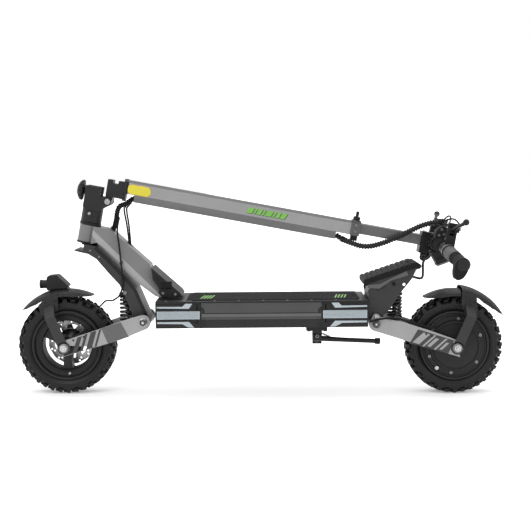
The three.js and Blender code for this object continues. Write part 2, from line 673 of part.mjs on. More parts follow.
// ---------------------------------------------------------------- stem, height clamp and inner tube
function stemParts() {
  const outer = [
    [-STEM_HALF, CHANNEL_TOP], [-12, STEM_LOW], [12, STEM_LOW], [STEM_HALF, CHANNEL_TOP],
    [STEM_HALF, STEM_TOP - 6], [16, STEM_TOP], [-16, STEM_TOP], [-STEM_HALF, STEM_TOP - 6],
  ];
  const channel = [[-16, CHANNEL_TOP - 0.5], [-9, STEM_LOW + 3], [9, STEM_LOW + 3], [16, CHANNEL_TOP - 0.5]];
  const bore = [
    [-INNER_HALF_Y - GAP, INNER_W - INNER_HALF_W - GAP], [INNER_HALF_Y + GAP, INNER_W - INNER_HALF_W - GAP],
    [INNER_HALF_Y + GAP, INNER_W + INNER_HALF_W - 1.2], [14, INNER_W + INNER_HALF_W + GAP],
    [-14, INNER_W + INNER_HALF_W + GAP], [-INNER_HALF_Y - GAP, INNER_W + INNER_HALF_W - 1.2],
  ];
  const tube = cut(
    beam(outer, STEM_START, STEM_END),
    beam(channel, STEM_START - 5, STEM_END + 5),
    beam(bore, STEM_START + 20, STEM_END + 5),
    box(STEM_START - 5, STEM_START + 22, -30, 30, STEM_LOW - 5, CHANNEL_TOP - 1),
    box(636, STEM_END + 5, -30, 30, STEM_LOW - 5, CHANNEL_TOP - 1),
  );
  add(head, 'stem_tube', tube, STEM_GREY);

  const band = [
    [-STEM_HALF - 3, 70], [STEM_HALF + 3, 70], [STEM_HALF + 3, STEM_TOP - 3], [18, STEM_TOP + 3],
    [-18, STEM_TOP + 3], [-STEM_HALF - 3, STEM_TOP - 3],
  ];
  const clamp = cut(
    join(
      beam(band, STEM_END + GAP, STEM_END + 24),
      box(STEM_END + 4, STEM_END + 22, -9, 9, 56, 71),
      box(STEM_END + 4, STEM_END + 20, -15, -9.5, STEM_TOP + 2, STEM_TOP + 12),
      box(STEM_END + 4, STEM_END + 20, 9.5, 15, STEM_TOP + 2, STEM_TOP + 12),
    ),
    beam(bore, STEM_END - 5, STEM_END + 30),
  );
  add(head, 'height_clamp', join(clamp, pinY(STEM_END + 12, STEM_TOP + 8, -17, 17, 2.5)), BLACK_METAL);
  const lever = cut(
    join(
      pinY(STEM_END + 12, STEM_TOP + 8, -9, 9, 4.7),
      box(STEM_END + 8.5, STEM_END + 15.5, -9, 9, STEM_TOP + 8, STEM_TOP + 26),
    ),
    pinY(STEM_END + 12, STEM_TOP + 8, -30, 30, 2.8),
  );
  add(head, 'clamp_lever', lever, BLACK_METAL);

  const inner = [
    [-INNER_HALF_Y, INNER_W - INNER_HALF_W], [INNER_HALF_Y, INNER_W - INNER_HALF_W],
    [INNER_HALF_Y, INNER_W + INNER_HALF_W - 2], [14, INNER_W + INNER_HALF_W],
    [-14, INNER_W + INNER_HALF_W], [-INNER_HALF_Y, INNER_W + INNER_HALF_W - 2],
  ];
  const hollow = inner.map(([y, w]) => [y * 0.84, INNER_W + (w - INNER_W) * 0.8]);
  const tubeBody = cut(beam(inner, 520, 858), beam(hollow, 515, 856));
  add(head, 'inner_stem', join(tubeBody, barClamp()), TUBE_GREY);
}

// ---------------------------------------------------------------- handlebar
const GRIP_START = [910, 165, 79];
const GRIP_END = [927, 300, 60];

// a point along the grip's centre line, on the right (+1) or left (-1) side
function onGrip(side, t) {
  return GRIP_START.map((v, i) => (v + (GRIP_END[i] - v) * t) * (i === 1 ? side : 1));
}

const BAR_PATH = [
  ...[1, 0.5, 0].map((t) => onGrip(-1, t)), [903, -120, 86], [BAR_AT[0] + 1, -70, BAR_AT[1]],
  [BAR_AT[0], -40, BAR_AT[1]], [BAR_AT[0], 0, BAR_AT[1]], [BAR_AT[0], 40, BAR_AT[1]],
  [BAR_AT[0] + 1, 70, BAR_AT[1]], [903, 120, 86], ...[0, 0.5, 1].map((t) => onGrip(1, t)),
];
const barRod = (radius) => hose(BAR_PATH, radius, 36, 12);

// the block that holds the bar, with two ears below it for the hook's pin
function barClamp() {
  const outline = [
    [857, 57], [857, 113], [876, 113], ...arc(BAR_AT, 24, 110, -110, 8), [876, 57],
  ];
  const ear = [[898, 82], ...arc(HOOK_AT, 6.5, 45, -135, 8), [886, 72]];
  const body = join(plate(outline, -24, 24), plate(ear, -11, 11));
  const slot = [[893, 60], [912, 60], [921, 72], [921, 86], [905, 92], [893, 92]];
  return join(
    cut(body, plate(slot, -HOOK_SLOT, HOOK_SLOT), pin(BAR_AT, -40, 40, BAR_BOSS_R + GAP, 24)),
    pin(HOOK_AT, -11, 11, HOOK_PIN_R, 12),
  );
}

function handlebarParts() {
  const bar = join(barRod(BAR_R), pin(BAR_AT, -36, 36, BAR_BOSS_R, 24));
  add(head, 'handlebar', bar, BLACK_METAL);
  for (const [name, side] of [['grip_left', -1], ['grip_right', 1]]) {
    const outer = onGrip(side, 1);
    const cap = onGrip(side, 1.018);
    const wing = [
      [outer[0] - 14, 60], [outer[0] + 12, 66], [outer[0] + 12, 44], [outer[0] + 2, 30], [outer[0] - 12, 34],
    ];
    const from = Math.min(side * 262, side * 300);
    const grip = cut(
      join(rod(onGrip(side, 0.02), cap, GRIP_R, 20), plate(wing, from, from + 38)),
      barRod(BAR_R + GAP),
    );
    add(head, name, grip, RUBBER);
  }
}

const LEVER_Y = 142;
const LEVER_W = 128;
const LEVER_TIP = [926, 235, 160];

// a rod across a brake lever's perch, along the stem direction
const leverRod = (side, u0, u1, radius) => (
  rod([u0, side * LEVER_Y, LEVER_W], [u1, side * LEVER_Y, LEVER_W], radius, 16)
);

function brakeLever(suffix, side) {
  const near = [905.5, side * 130, 84.5];
  const far = [909.5, side * 158, 80];
  const perch = cut(
    join(
      rod(near, far, GRIP_R + 0.5, 20),
      boxY(900, 924, side * 133, side * 152, 88, 137),
      boxY(904, 932, side * 112, side * 136, 128, 150),
    ),
    barRod(BAR_R + GAP),
    boxY(906, 918, side * 134, side * 170, 119, 160),
  );
  add(head, `brake_perch_${suffix}`, join(perch, leverRod(side, 905, 919, 2.2)), BLACK_METAL);

  const path = [
    [912, LEVER_Y, LEVER_W], [914, 160, 136], [918, 190, 146], [922, 214, 153], LEVER_TIP,
  ].map(([u, y, w]) => [u, y * side, w]);
  const ball = new THREE.SphereGeometry(8, 12, 8);
  ball.translate(LEVER_TIP[0], side * LEVER_TIP[1], LEVER_TIP[2]);
  const lever = cut(
    join(hose(path, 4.6, 10, 8), leverRod(side, 906.4, 917.6, 7), solid(ball)),
    leverRod(side, 900, 924, 2.2 + GAP),
  );
  add(head, `brake_lever_${suffix}`, lever, BLACK_METAL);
}

const THUMB_AT = [914, 54];

function controls() {
  const display = cut(
    join(
      plate([[876.7, 63.7], [898, 37.5], [927.7, 55.8], [915.1, 81.4]], -112, -68),
      rod([893, -112, 89], [895, -100, 88.5], GRIP_R + 2, 20),
      rod([893.5, -78, 90], [893.5, -68, 90], GRIP_R + 2, 20),
    ),
    barRod(BAR_R + GAP),
  );
  add(head, 'display_unit', display, BLACK_PLASTIC);
  const pod = cut(
    join(
      rod([897, 96, 88.2], [900, 116, 86.8], GRIP_R + 2, 20),
      spanBox([908, 926], [94, 118], [60, 92]),
      spanBox([908, 920], [94, 99.6], [48, 61]),
      pin(THUMB_AT, 95, 112, 2, 12),
    ),
    barRod(BAR_R + GAP),
    spanBox([917, 930], [98, 114], [79, 87]),
  );
  add(head, 'throttle_pod', pod, BLACK_PLASTIC);
  add(head, 'horn_button', spanBox([920.5, 929], [99, 113], [80, 86]), finish(0xb02a24, 0.5, 0));
  const paddle = [[914, 58], [924, 55], [936, 50], [934, 44], [922, 47], [914, 50]];
  const thumb = cut(
    join(plate(paddle, 100, 112), pin(THUMB_AT, 100, 112, 5.2, 16)),
    pin(THUMB_AT, 90, 120, 2 + GAP, 12),
  );
  add(head, 'throttle_lever', thumb, BLACK_PLASTIC);
}

// ---------------------------------------------------------------- latch hook
const HOOK_R = 3.4;

function latchHook() {
  const eye = inWorld(...HOOK_AT);
  const path = [
    [eye[0], 0, eye[1]], [446, 0, 366], [431, 0, 351], [427.5, 0, 340], [427.5, 0, 320],
    [427, 0, 305], [421, 0, 300.5], [410, 0, 302.5], [400, 0, 305.5],
  ];
  const ring = new THREE.TorusGeometry(7.6, 2.9, 6, 16);
  ring.rotateX(Math.PI / 2);
  ring.translate(428, 0, 357);
  const hook = cut(
    join(hose(path, HOOK_R, 20, 8), solid(ring), pin(eye, -4.2, 4.2, 5.2, 16)),
    pin(eye, -20, 20, HOOK_PIN_R + GAP, 12),
  );
  add(scooter, 'latch_hook', hook, STEEL);
}

// ---------------------------------------------------------------- rear bracket and footrest
const CHEEK_Y = [60, 66.5];
const PAD_HALF = 68;
const PAD_SLOPE = Math.atan2(349 - 305.5, 394 - 266.7);

// a point of the footrest's top line, a distance along it and below it
function onPad(along, below) {
  const x = 266.7 + along * Math.cos(PAD_SLOPE) + below * Math.sin(PAD_SLOPE);
  const z = 305.5 + along * Math.sin(PAD_SLOPE) - below * Math.cos(PAD_SLOPE);
  return [x, z];
}

function rearParts() {
  const cheek = [
    [279, 262], [279, 212], [284, 204], ...arc(REAR_PIVOT, 14, 180, 340, 6), [318, 213], [325, 216.8],
    [335, 229.6], [361, 269.5], [390, 306], onPad(134, 22), onPad(20, 22), [276, 275],
  ];
  const shelf = [onPad(8, 16), onPad(139, 16), onPad(139, 21), onPad(8, 24)];
  const wall = [[279, 258], [279, 250], [284, 250], [290, 289], [283, 291]];
  const notch = (y) => box(381, 430, -y, y, 290, 360);
  let bracket = join(
    platePair(cheek, ...CHEEK_Y),
    plate(shelf, -CHEEK_Y[1], CHEEK_Y[1]),
    plate(wall, -CHEEK_Y[1], CHEEK_Y[1]),
    pin([REAR_SHOCK_X, SHOCK_TOP_Z], -61, 61, SHOCK_PIN_R, 16),
    pin([286, 222], -61, 61, 6, 16),
    pin(REAR_PIVOT, -ARM_IN + GAP, ARM_IN - GAP, 14, 20),
    pivotShaft(REAR_PIVOT),
  );
  bracket = cut(
    bracket,
    pin([343, 292.7], -90, 0, 4.6, 16),
    pin([343, 279.2], 0, 90, 4.6, 16),
    pin([370, 291.4], -90, 0, 4, 16),
    pin([370, 280], 0, 90, 4, 16),
    notch(7),
  );
  add(scooter, 'rear_bracket', bracket, DARK_METAL);
  const pad = [
    onPad(0, 0), onPad(134, 0), onPad(147, 7), onPad(151, 16), onPad(144, 21), onPad(139.5, 21),
    onPad(139.5, 15.5), onPad(8, 15.5), onPad(5, 20), onPad(-5, 14),
  ];
  let cushion = cut(plate(pad, -PAD_HALF, PAD_HALF), notch(6.5));
  for (let i = 0; i < 9; i += 1) {
    const [x, z] = onPad(10 + i * 14, 0);
    const groove = [[x - 3, z - 1], [x + 4, z - 1], [x + 3, z - 6], [x - 3, z - 6]];
    cushion = cut(cushion, platePair(groove, PAD_HALF - 6, PAD_HALF + 10));
  }
  add(scooter, 'footrest_pad', cushion, RUBBER);
}

// ---------------------------------------------------------------- kickstand
const STAND_PIVOT = [147, -66, 151];
const STAND_SPLAY = 25.15 * DEG;

// a solid laid out about the stand's pivot, then tipped so that its Y axis is the pin
function atStand(geometry) {
  geometry.rotateX(-STAND_SPLAY);
  geometry.translate(...STAND_PIVOT);
  return solid(geometry);
}

const standRod = (radius, length, sides) => (
  atStand(new THREE.CylinderGeometry(radius, radius, length, sides))
);

function standBracket() {
  const ears = [-11.5, 11.5].map((y) => {
    const ear = new THREE.BoxGeometry(24, 6, 36);
    ear.translate(0, y, 7);
    return atStand(ear);
  });
  const x = STAND_PIVOT[0];
  return join(
    box(119, 173, -84, -40, 172, DECK_LOW - GAP),
    box(119, CAP_REAR_START - 1, -84, -40, 172, DECK_LOW + 1),
    box(x - 12, x + 12, -84, -42, 165.5, 173),
    ...ears,
    standRod(3, 32, 12),
  );
}

function kickstandLeg() {
  const [x, y, z] = STAND_PIVOT;
  const leg = join(
    standRod(10, 15.6, 20),
    rod([x, y, z], [194, y, z - 3.5], 7.5, 12),
    rod([190, y, z - 3.2], [306, y, z - 9], 6.3, 12),
    rod([300, y, z - 8.7], [311, y, z - 9.2], 8, 12),
  );
  add(deck, 'kickstand_leg', cut(leg, standRod(3 + GAP, 40, 16)), BLACK_METAL);
}

// ---------------------------------------------------------------- cables and hoses
function cables() {
  const gauge = 2.4;
  const stemHose = [
    [104, 0, 63], [96, -0.5, 58.5], [89, -1, 51], [83, -3, 44.5], [75, -6, 40.5], [67.5, -8, 34],
    [64.5, -9, 20],
    [65, -7, 1], [63.5, -3, -17], [60.7, 0, -34], [60, 0, -46],
  ];
  add(head, 'stem_hose', hose(stemHose, 5.7, 28, 8), RUBBER);
  const twin = (dx, dy) => [
    [-346 + dx, 11 + dy, 500], [-355 + dx, 12 + dy, 490], [-359 + dx, 12 + dy, 480],
    [-352 + dx * 0.8, 10 + dy, 440], [-347 + dx * 0.6, 8 + dy, 400], [-345 + dx * 0.5, 7 + dy, 378],
  ];
  const clip = box(-349, -340, 5, 15, 399, 403);
  const pair = join(hose(twin(0, 0), gauge, 24, 8), hose(twin(6, 4), gauge, 24, 8), clip);
  add(scooter, 'sensor_cables', pair, RUBBER);
  const brakeHose = [
    [-368, -22, 462], [-371, -36, 440], [-370, -46, 418], [-366, -50, 392], [-361, -53, 346],
    [-357, -54.5, 300], [-357, -55, 285], [-366, -52, 262], [-380, -38, 250], [-392, -10, 243],
    [-402, 20, 240], [-415, 42, 236],
    [-430, 50, 222], [-448, 54, 207],
  ];
  add(scooter, 'brake_hose', hose(brakeHose, gauge, 40, 8), RUBBER);
  const barHose = [
    [638, 0, 62], [656, -6, 55], [680, -20, 50], [705, -27, 47], [730, -30, 51], [755, -30, 62],
    [779, -29, 76], [802, -29, 92], [826, -30, 110], [850, -34, 127], [873, -42, 139], [895, -56, 146],
  ];
  add(head, 'bar_hose', hose(barHose, 6, 30, 10), RUBBER);
  const motorCable = [
    [281.5, -86, 197], [300, -86, 202.5], [320, -84, 205.5], [337, -82, 206.5], [352, -79, 205],
    [372, -74, 198.5],
    [400, -73, 190], [428, -72.5, 183], [446, -69, 178], [458, -62, 170], [468, -58, 158], [474, -56, 146],
  ];
  add(scooter, 'motor_cable', hose(motorCable, 2.6, 36, 8), RUBBER);
}

// ---------------------------------------------------------------- the whole scooter
tyre('front_tyre', FRONT_X);
frontRim();
brakeDisc();
axle('front_axle', FRONT_X);
tyre('rear_tyre', REAR_X);
hubMotor();
axle('rear_axle', REAR_X);
swingArm('front_arm', FRONT_ARM, FRONT_PIVOT, FRONT_SHOCK_X, FRONT_X);
swingArm('rear_arm', REAR_ARM, REAR_PIVOT, REAR_SHOCK_X, REAR_X);
shock('front', FRONT_SHOCK_X);
shock('rear', REAR_SHOCK_X);
mudguard(
  'front_mudguard', FRONT_X, [[150, 142, 107], [147, 105, 63]],
  [[-70, 108], [-40, 140], [-20, 144], [-18, 96], [-27, 88], [-64, 82]], [[-44, 106], [-35, 81], [-2, 4]],
);
mudguard(
  'rear_mudguard', REAR_X, [[152.5, 31, 82], [148, 84, 122.5]],
  [[10, 145], [20, 148.5], [61, 136.5], [58, 74], [24, 87], [14, 110]], [[38, 106], [35.7, 82], [2, 4]],
);
headlight();
caliper();
deckParts();
neckParts();
forkParts();
hingeParts();
stemBlock();
stemParts();
handlebarParts();
brakeLever('left', -1);
brakeLever('right', 1);
controls();
latchHook();
rearParts();
kickstandLeg();
cables();

export default scooter;
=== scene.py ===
import math

import bmesh
import bpy
from mathutils import Matrix, Vector


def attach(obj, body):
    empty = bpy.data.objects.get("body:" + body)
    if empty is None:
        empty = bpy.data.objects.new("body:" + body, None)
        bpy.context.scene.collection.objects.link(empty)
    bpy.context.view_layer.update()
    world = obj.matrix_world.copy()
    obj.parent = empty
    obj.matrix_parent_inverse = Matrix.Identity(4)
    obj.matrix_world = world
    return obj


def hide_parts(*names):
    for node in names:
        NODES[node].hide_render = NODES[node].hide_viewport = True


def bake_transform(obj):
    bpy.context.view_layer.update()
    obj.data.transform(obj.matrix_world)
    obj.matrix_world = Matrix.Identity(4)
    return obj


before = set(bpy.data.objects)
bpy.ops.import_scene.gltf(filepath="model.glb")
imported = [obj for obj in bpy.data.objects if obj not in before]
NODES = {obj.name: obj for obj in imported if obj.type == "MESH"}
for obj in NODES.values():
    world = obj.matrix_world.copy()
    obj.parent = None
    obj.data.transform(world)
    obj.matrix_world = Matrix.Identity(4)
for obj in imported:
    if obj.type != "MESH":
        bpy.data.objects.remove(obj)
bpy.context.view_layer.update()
MM = 0.001
BOTH = (-1, 1)

# ---------------------------------------------- the frame's driving places, in millimetres
AXLE_Z = 127.5
FRONT_X = -508.0
REAR_X = 508.0
FRONT_PIVOT = (-303.5, 194.0)
REAR_PIVOT = (298.0, 190.0)
FRONT_SHOCK_X = -352.0
REAR_SHOCK_X = 353.0
SHOCK_TOP = 268.0
SHOCK_LOW = 184.0
RAKE = math.radians(10.3)
HEAD_AT = Vector((-441.6, 0.0, 468.4))
HEAD_U = Vector((math.cos(RAKE), 0.0, -math.sin(RAKE)))
HEAD_W = Vector((math.sin(RAKE), 0.0, math.cos(RAKE)))
SIDE = Vector((0.0, 1.0, 0.0))
DECK_TILT = math.radians(-0.45)
ARM_FACE = 77.9  # how far out the swing arms' outer faces lie


def head(u, y, w):
    """A point given along the folded stem (u), across (y) and up the steering axis (w), in the frame."""
    return HEAD_AT + HEAD_U * u + SIDE * y + HEAD_W * w


def deck(x, y, z):
    """A point given in the deck's own slightly tilted axes, in the frame."""
    c, s = math.cos(DECK_TILT), math.sin(DECK_TILT)
    return Vector((x * c + z * s, y, -x * s + z * c))


def flat(x, y, z):
    """A point already in the frame."""
    return Vector((x, y, z))


# ---------------------------------------------- materials
def ramp(tree, source, stops):
    node = tree.nodes.new("ShaderNodeValToRGB")
    while len(node.color_ramp.elements) < len(stops):
        node.color_ramp.elements.new(0.5)
    for element, (at, value) in zip(node.color_ramp.elements, stops):
        element.position = at
        element.color = (*value, 1) if isinstance(value, tuple) else (value, value, value, 1)
    tree.links.new(source, node.inputs["Fac"])
    return node.outputs["Color"]


def noise(tree, coords, scale, detail=4.0, rough=0.55, stretch=None):
    if stretch:
        mapping = tree.nodes.new("ShaderNodeMapping")
        mapping.inputs["Scale"].default_value = stretch
        tree.links.new(coords, mapping.inputs["Vector"])
        coords = mapping.outputs["Vector"]
    node = tree.nodes.new("ShaderNodeTexNoise")
    node.inputs["Scale"].default_value = scale
    node.inputs["Detail"].default_value = detail
    node.inputs["Roughness"].default_value = rough
    tree.links.new(coords, node.inputs["Vector"])
    return node.outputs["Fac"]


def feed(tree, socket, value):
    """Links an output, or sets a colour or a number, on a node's input."""
    if isinstance(value, bpy.types.NodeSocket):
        tree.links.new(value, socket)
    else:
        socket.default_value = (*value, 1) if isinstance(value, tuple) else value


def mix(tree, factor, a, b):
    node = tree.nodes.new("ShaderNodeMix")
    node.data_type = "RGBA"
    for index, value in ((0, factor), (6, a), (7, b)):
        feed(tree, node.inputs[index], value)
    return node.outputs[2]


def arithmetic(tree, operation, *values):
    node = tree.nodes.new("ShaderNodeMath")
    node.operation = operation
    for socket, value in zip(node.inputs, values):
        feed(tree, socket, value)
    return node.outputs[0]


ROUGH_SPREAD = 0.12


def surface(
    name, colour, rough=0.5, metal=0.0, spread=0.12, grain=400.0, bump=0.05, blotch=14.0,
    wear_and_edge_highlight=0.0, worn_and_highlight_colour=(0.5, 0.5, 0.5), coat=0.0, stretch=None, specular=0.5,
):
    """A procedural surface: blotchy colour, fine grain in bump and roughness, and lighter edges that are
    partly scuffing and partly a painted highlight.
    """
    material = bpy.data.materials.new(name)
    material.use_nodes = True
    tree = material.node_tree
    shader = tree.nodes["Principled BSDF"]
    coords = tree.nodes.new("ShaderNodeTexCoord").outputs["Object"]
    soft = noise(tree, coords, blotch, 3.0)
    fine = noise(tree, coords, grain, 3.0, 0.6, stretch)
    dark = tuple(c * (1 - spread) for c in colour)
    light = tuple(min(1.0, c * (1 + spread)) for c in colour)
    colour_out = ramp(tree, soft, [(0.3, dark), (0.7, light)])
    # lighter edges under patchy noise: partly scuffing, partly a painted highlight along every edge
    if wear_and_edge_highlight:
        bevel = tree.nodes.new("ShaderNodeBevel")
        bevel.samples = 4
        bevel.inputs["Radius"].default_value = 0.0014
        geometry = tree.nodes.new("ShaderNodeNewGeometry")
        dot = tree.nodes.new("ShaderNodeVectorMath")
        dot.operation = "DOT_PRODUCT"
        tree.links.new(bevel.outputs["Normal"], dot.inputs[0])
        tree.links.new(geometry.outputs["Normal"], dot.inputs[1])
        edge = ramp(tree, dot.outputs["Value"], [(0.80, wear_and_edge_highlight), (0.97, 0.0)])
        patchy = ramp(tree, noise(tree, coords, 90.0, 5.0), [(0.42, 0.25), (0.6, 1.0)])
        colour_out = mix(tree, arithmetic(tree, "MULTIPLY", edge, patchy), colour_out, worn_and_highlight_colour)
    tree.links.new(colour_out, shader.inputs["Base Color"])
    low, high = max(0.03, rough - ROUGH_SPREAD), min(1.0, rough + ROUGH_SPREAD)
    tree.links.new(ramp(tree, fine, [(0.25, low), (0.75, high)]), shader.inputs["Roughness"])
    shader.inputs["Metallic"].default_value = metal
    shader.inputs["Specular IOR Level"].default_value = specular
    if coat:
        shader.inputs["Coat Weight"].default_value = coat
        shader.inputs["Coat Roughness"].default_value = 0.12
    node = tree.nodes.new("ShaderNodeBump")
    node.inputs["Strength"].default_value = bump
    node.inputs["Distance"].default_value = 0.0006
    tree.links.new(fine, node.inputs["Height"])
    tree.links.new(node.outputs["Normal"], shader.inputs["Normal"])
    return material


def grey(level):
    """A linear colour from an 8-bit display level."""
    c = level / 255
    c = c / 12.92 if c <= 0.04045 else ((c + 0.055) / 1.055) ** 2.4
    return (c, c, c * 1.01)


M = {
    "silver": surface("silver_paint", grey(150), 0.42, 0.3, 0.05, 900, 0.04, wear_and_edge_highlight=0.2, worn_and_highlight_colour=grey(190)),
    "arm_dark": surface("arm_graphic", grey(58), 0.45, 0.2, 0.08, 700, 0.03),
    "stem": surface("stem_paint", grey(146), 0.42, 0.3, 0.05, 1200, 0.03),
    # a darker copy of the stem paint: painted shade on the stem's downward faces
    "stem_underside_shade": surface("stem_underside_painted_shade", grey(112), 0.42, 0.3, 0.05, 1200, 0.03),
    "stem_top": surface("stem_edge_paint", grey(70), 0.4, 0.4, 0.05, 1200, 0.03),
    "neck": surface("neck_paint", grey(118), 0.42, 0.3, 0.06, 900, 0.04, wear_and_edge_highlight=0.25, worn_and_highlight_colour=grey(150)),
    "neck_light": surface("neck_facet_paint", grey(150), 0.42, 0.3, 0.05, 900, 0.03),
    "graphite": surface("graphite_paint", grey(50), 0.48, 0.2, 0.10, 900, 0.05, 14, 0.35, grey(110),
                        specular=0.35),
    "graphite_dark": surface("dark_graphite_paint", grey(34), 0.48, 0.2, 0.10, 900, 0.05, 14, 0.3, grey(95),
                             specular=0.35),
    "tube": surface("anodised_tube", grey(104), 0.36, 0.6, 0.06, 1500, 0.03, stretch=(0.1, 1, 1)),
    "black": surface("black_paint", grey(16), 0.4, 0.1, 0.15, 900, 0.05, 14, 0.3, grey(80), specular=0.35),
    "plastic": surface("black_plastic", grey(20), 0.5, 0.0, 0.12, 1600, 0.12, 14, 0.2, grey(70),
                       specular=0.3),
    "guard": surface("mudguard_plastic", grey(34), 0.5, 0.0, 0.10, 1400, 0.10, 14, 0.2, grey(90),
                     specular=0.3),
    "rubber": surface("black_rubber", grey(14), 0.7, 0.0, 0.18, 700, 0.25, specular=0.25),
    "tyre": surface("tyre_rubber", grey(16), 0.5, 0.0, 0.22, 500, 0.25, 22, 0.3, grey(60), specular=0.35),
    "mat": surface("deck_mat_rubber", grey(38), 0.8, 0.0, 0.15, 900, 0.4, specular=0.2),
    "steel": surface("brushed_steel", grey(196), 0.28, 0.95, 0.08, 1600, 0.08, stretch=(0.08, 1, 0.08)),
    "disc": surface("disc_steel", grey(180), 0.3, 0.85, 0.10, 1400, 0.1, stretch=(1, 0.1, 1)),
    "hook": surface("dark_steel", grey(50), 0.35, 0.8, 0.10, 900, 0.05),
    "lens": surface("frosted_guide", (0.36, 0.41, 0.44), 0.3, 0.0, 0.05, 300, 0.02, coat=0.3),
    "lens_rib": surface("guide_rib", (0.24, 0.285, 0.31), 0.3, 0.0, 0.05, 300, 0.02, coat=0.3),
    "deck_side": surface("deck_side_paint", grey(68), 0.45, 0.3, 0.05, 1200, 0.04, stretch=(0.15, 1, 1)),
    "deck_low": surface("deck_lower_paint", grey(30), 0.48, 0.2, 0.08, 1200, 0.05, 14, 0.3, grey(80),
                        specular=0.35),
    "rail": surface("deck_rail_paint", grey(92), 0.4, 0.4, 0.05, 1200, 0.04, stretch=(0.15, 1, 1)),
    "green": surface("green_ink", (0.16, 0.42, 0.06), 0.45, 0.0, 0.08, 900, 0.02),
    "yellow": surface("yellow_reflector", (0.62, 0.55, 0.04), 0.25, 0.0, 0.06, 700, 0.05, coat=0.8),
    "amber": surface("amber_reflector", (0.60, 0.33, 0.08), 0.25, 0.0, 0.06, 700, 0.05, coat=0.6),
    "red": surface("red_plastic", (0.35, 0.03, 0.02), 0.35, 0.0, 0.08, 900, 0.05),
    "cell": surface("cell_sleeve", (0.05, 0.2, 0.09), 0.4, 0.0, 0.1, 600, 0.05),
    "screen": surface("dark_screen", grey(14), 0.08, 0.0, 0.05, 60, 0.0, coat=0.8),
    "brass": surface("brass", (0.55, 0.36, 0.12), 0.3, 0.9, 0.1, 900, 0.05),
    "motor": surface("motor_cover", grey(34), 0.4, 0.4, 0.08, 1500, 0.06, specular=0.35),
    "bolt": surface("dull_steel", grey(130), 0.35, 0.8, 0.1, 900, 0.05),
    "arm_mid": surface("arm_panel_paint", grey(92), 0.42, 0.3, 0.05, 900, 0.03),
    "spring": surface("spring_paint", grey(12), 0.3, 0.1, 0.1, 900, 0.04, coat=0.3),
    # a lighter grey rubber: the grips' painted sheen
    "grip_sheen": surface("grip_painted_sheen_rubber", grey(74), 0.55, 0.0, 0.2, 500, 0.3, 60),
    "rest_plate": surface("rest_plate_paint", grey(86), 0.42, 0.3, 0.05, 900, 0.04),
}


# the part's colour slot that each finish belongs to, unless a piece names another
SLOTS = {finish: slot for slot, finishes in {
    "tyre": ("tyre",),
    "black_metal": ("black", "spring"),
    "black_plastic": ("guard", "plastic", "screen"),
    "dark_metal": ("graphite_dark", "arm_dark", "graphite"),
    "steel": ("steel", "disc", "bolt", "brass", "hook"),
    "wheel_black": ("motor",),
    "arm_silver": ("silver", "arm_mid"),
    "lens": ("lens", "lens_rib", "yellow", "amber"),
    "deck_grey": ("rail", "deck_side"),
    "mat": ("mat", "green"),
    "neck_grey": ("neck_light", "rest_plate"),
    "rubber": ("rubber", "grip_sheen"),
    "tube_grey": ("tube",),
}.items() for finish in finishes}


# ---------------------------------------------- mesh parts: (points in millimetres, faces)
def merged(*parts):
    """Several mesh parts as one."""
    points, faces = [], []
    for p, f in parts:
        base = len(points)
        points.extend(p)
        faces.extend(tuple(i + base for i in face) for face in f)
    return points, faces


def lathe(profile, at, axis=(0, 1, 0), segments=48, twist=0.0):
    """A (radius, distance along the axis) profile turned about an axis.

    A closed profile repeats its first point.
    """
    closed = profile[0] == profile[-1]
    rows = profile[:-1] if closed else profile
    turn = Vector((0, 0, 1)).rotation_difference(Vector(axis).normalized())
    points, faces, index = [], [], []
    for r, h in rows:
        if r < 1e-6:
            index.append([len(points)] * segments)
            points.append(Vector(at) + turn @ Vector((0, 0, h)))
            continue
        index.append([len(points) + i for i in range(segments)])
        for i in range(segments):
            a = twist + 2 * math.pi * i / segments
            points.append(Vector(at) + turn @ Vector((r * math.cos(a), r * math.sin(a), h)))
    count = len(rows)
    for k in range(count if closed else count - 1):
        low, high = index[k], index[(k + 1) % count]
        for i in range(segments):
            j = (i + 1) % segments
            face = []
            for v in (low[i], low[j], high[j], high[i]):
                if v not in face:
                    face.append(v)
            if len(face) > 2:
                faces.append(tuple(face))
    return points, faces


def band(r0, r1, h0, h1):
    """The closed profile of a plain ring or sleeve."""
    return [(r0, h0), (r1, h0), (r1, h1), (r0, h1), (r0, h0)]


def collar(r0, r1, cut_r, cut_h, h0, h1):
    """The closed profile of a ring whose outer edges are chamfered."""
    return [(r0, h0), (r1 - cut_r, h0), (r1, h0 + cut_h), (r1, h1 - cut_h), (r1 - cut_r, h1), (r0, h1),
            (r0, h0)]


def prism(outline, y0, y1, place=flat):
    """An outline of (x, z) points, in either direction, from y0 to y1."""
    n = len(outline)
    points = [place(x, y, z) for y in (y0, y1) for x, z in outline]
    faces = [tuple(range(n)), tuple(range(2 * n - 1, n - 1, -1))]
    faces += [(i, i + n, (i + 1) % n + n, (i + 1) % n) for i in range(n)]
    return points, faces


def rect(x0, x1, z0, z1):
    """The outline of a rectangle."""
    return [(x0, z0), (x1, z0), (x1, z1), (x0, z1)]


def block(x0, x1, y0, y1, z0, z1, place=flat):
    return prism(rect(x0, x1, z0, z1), y0, y1, place)


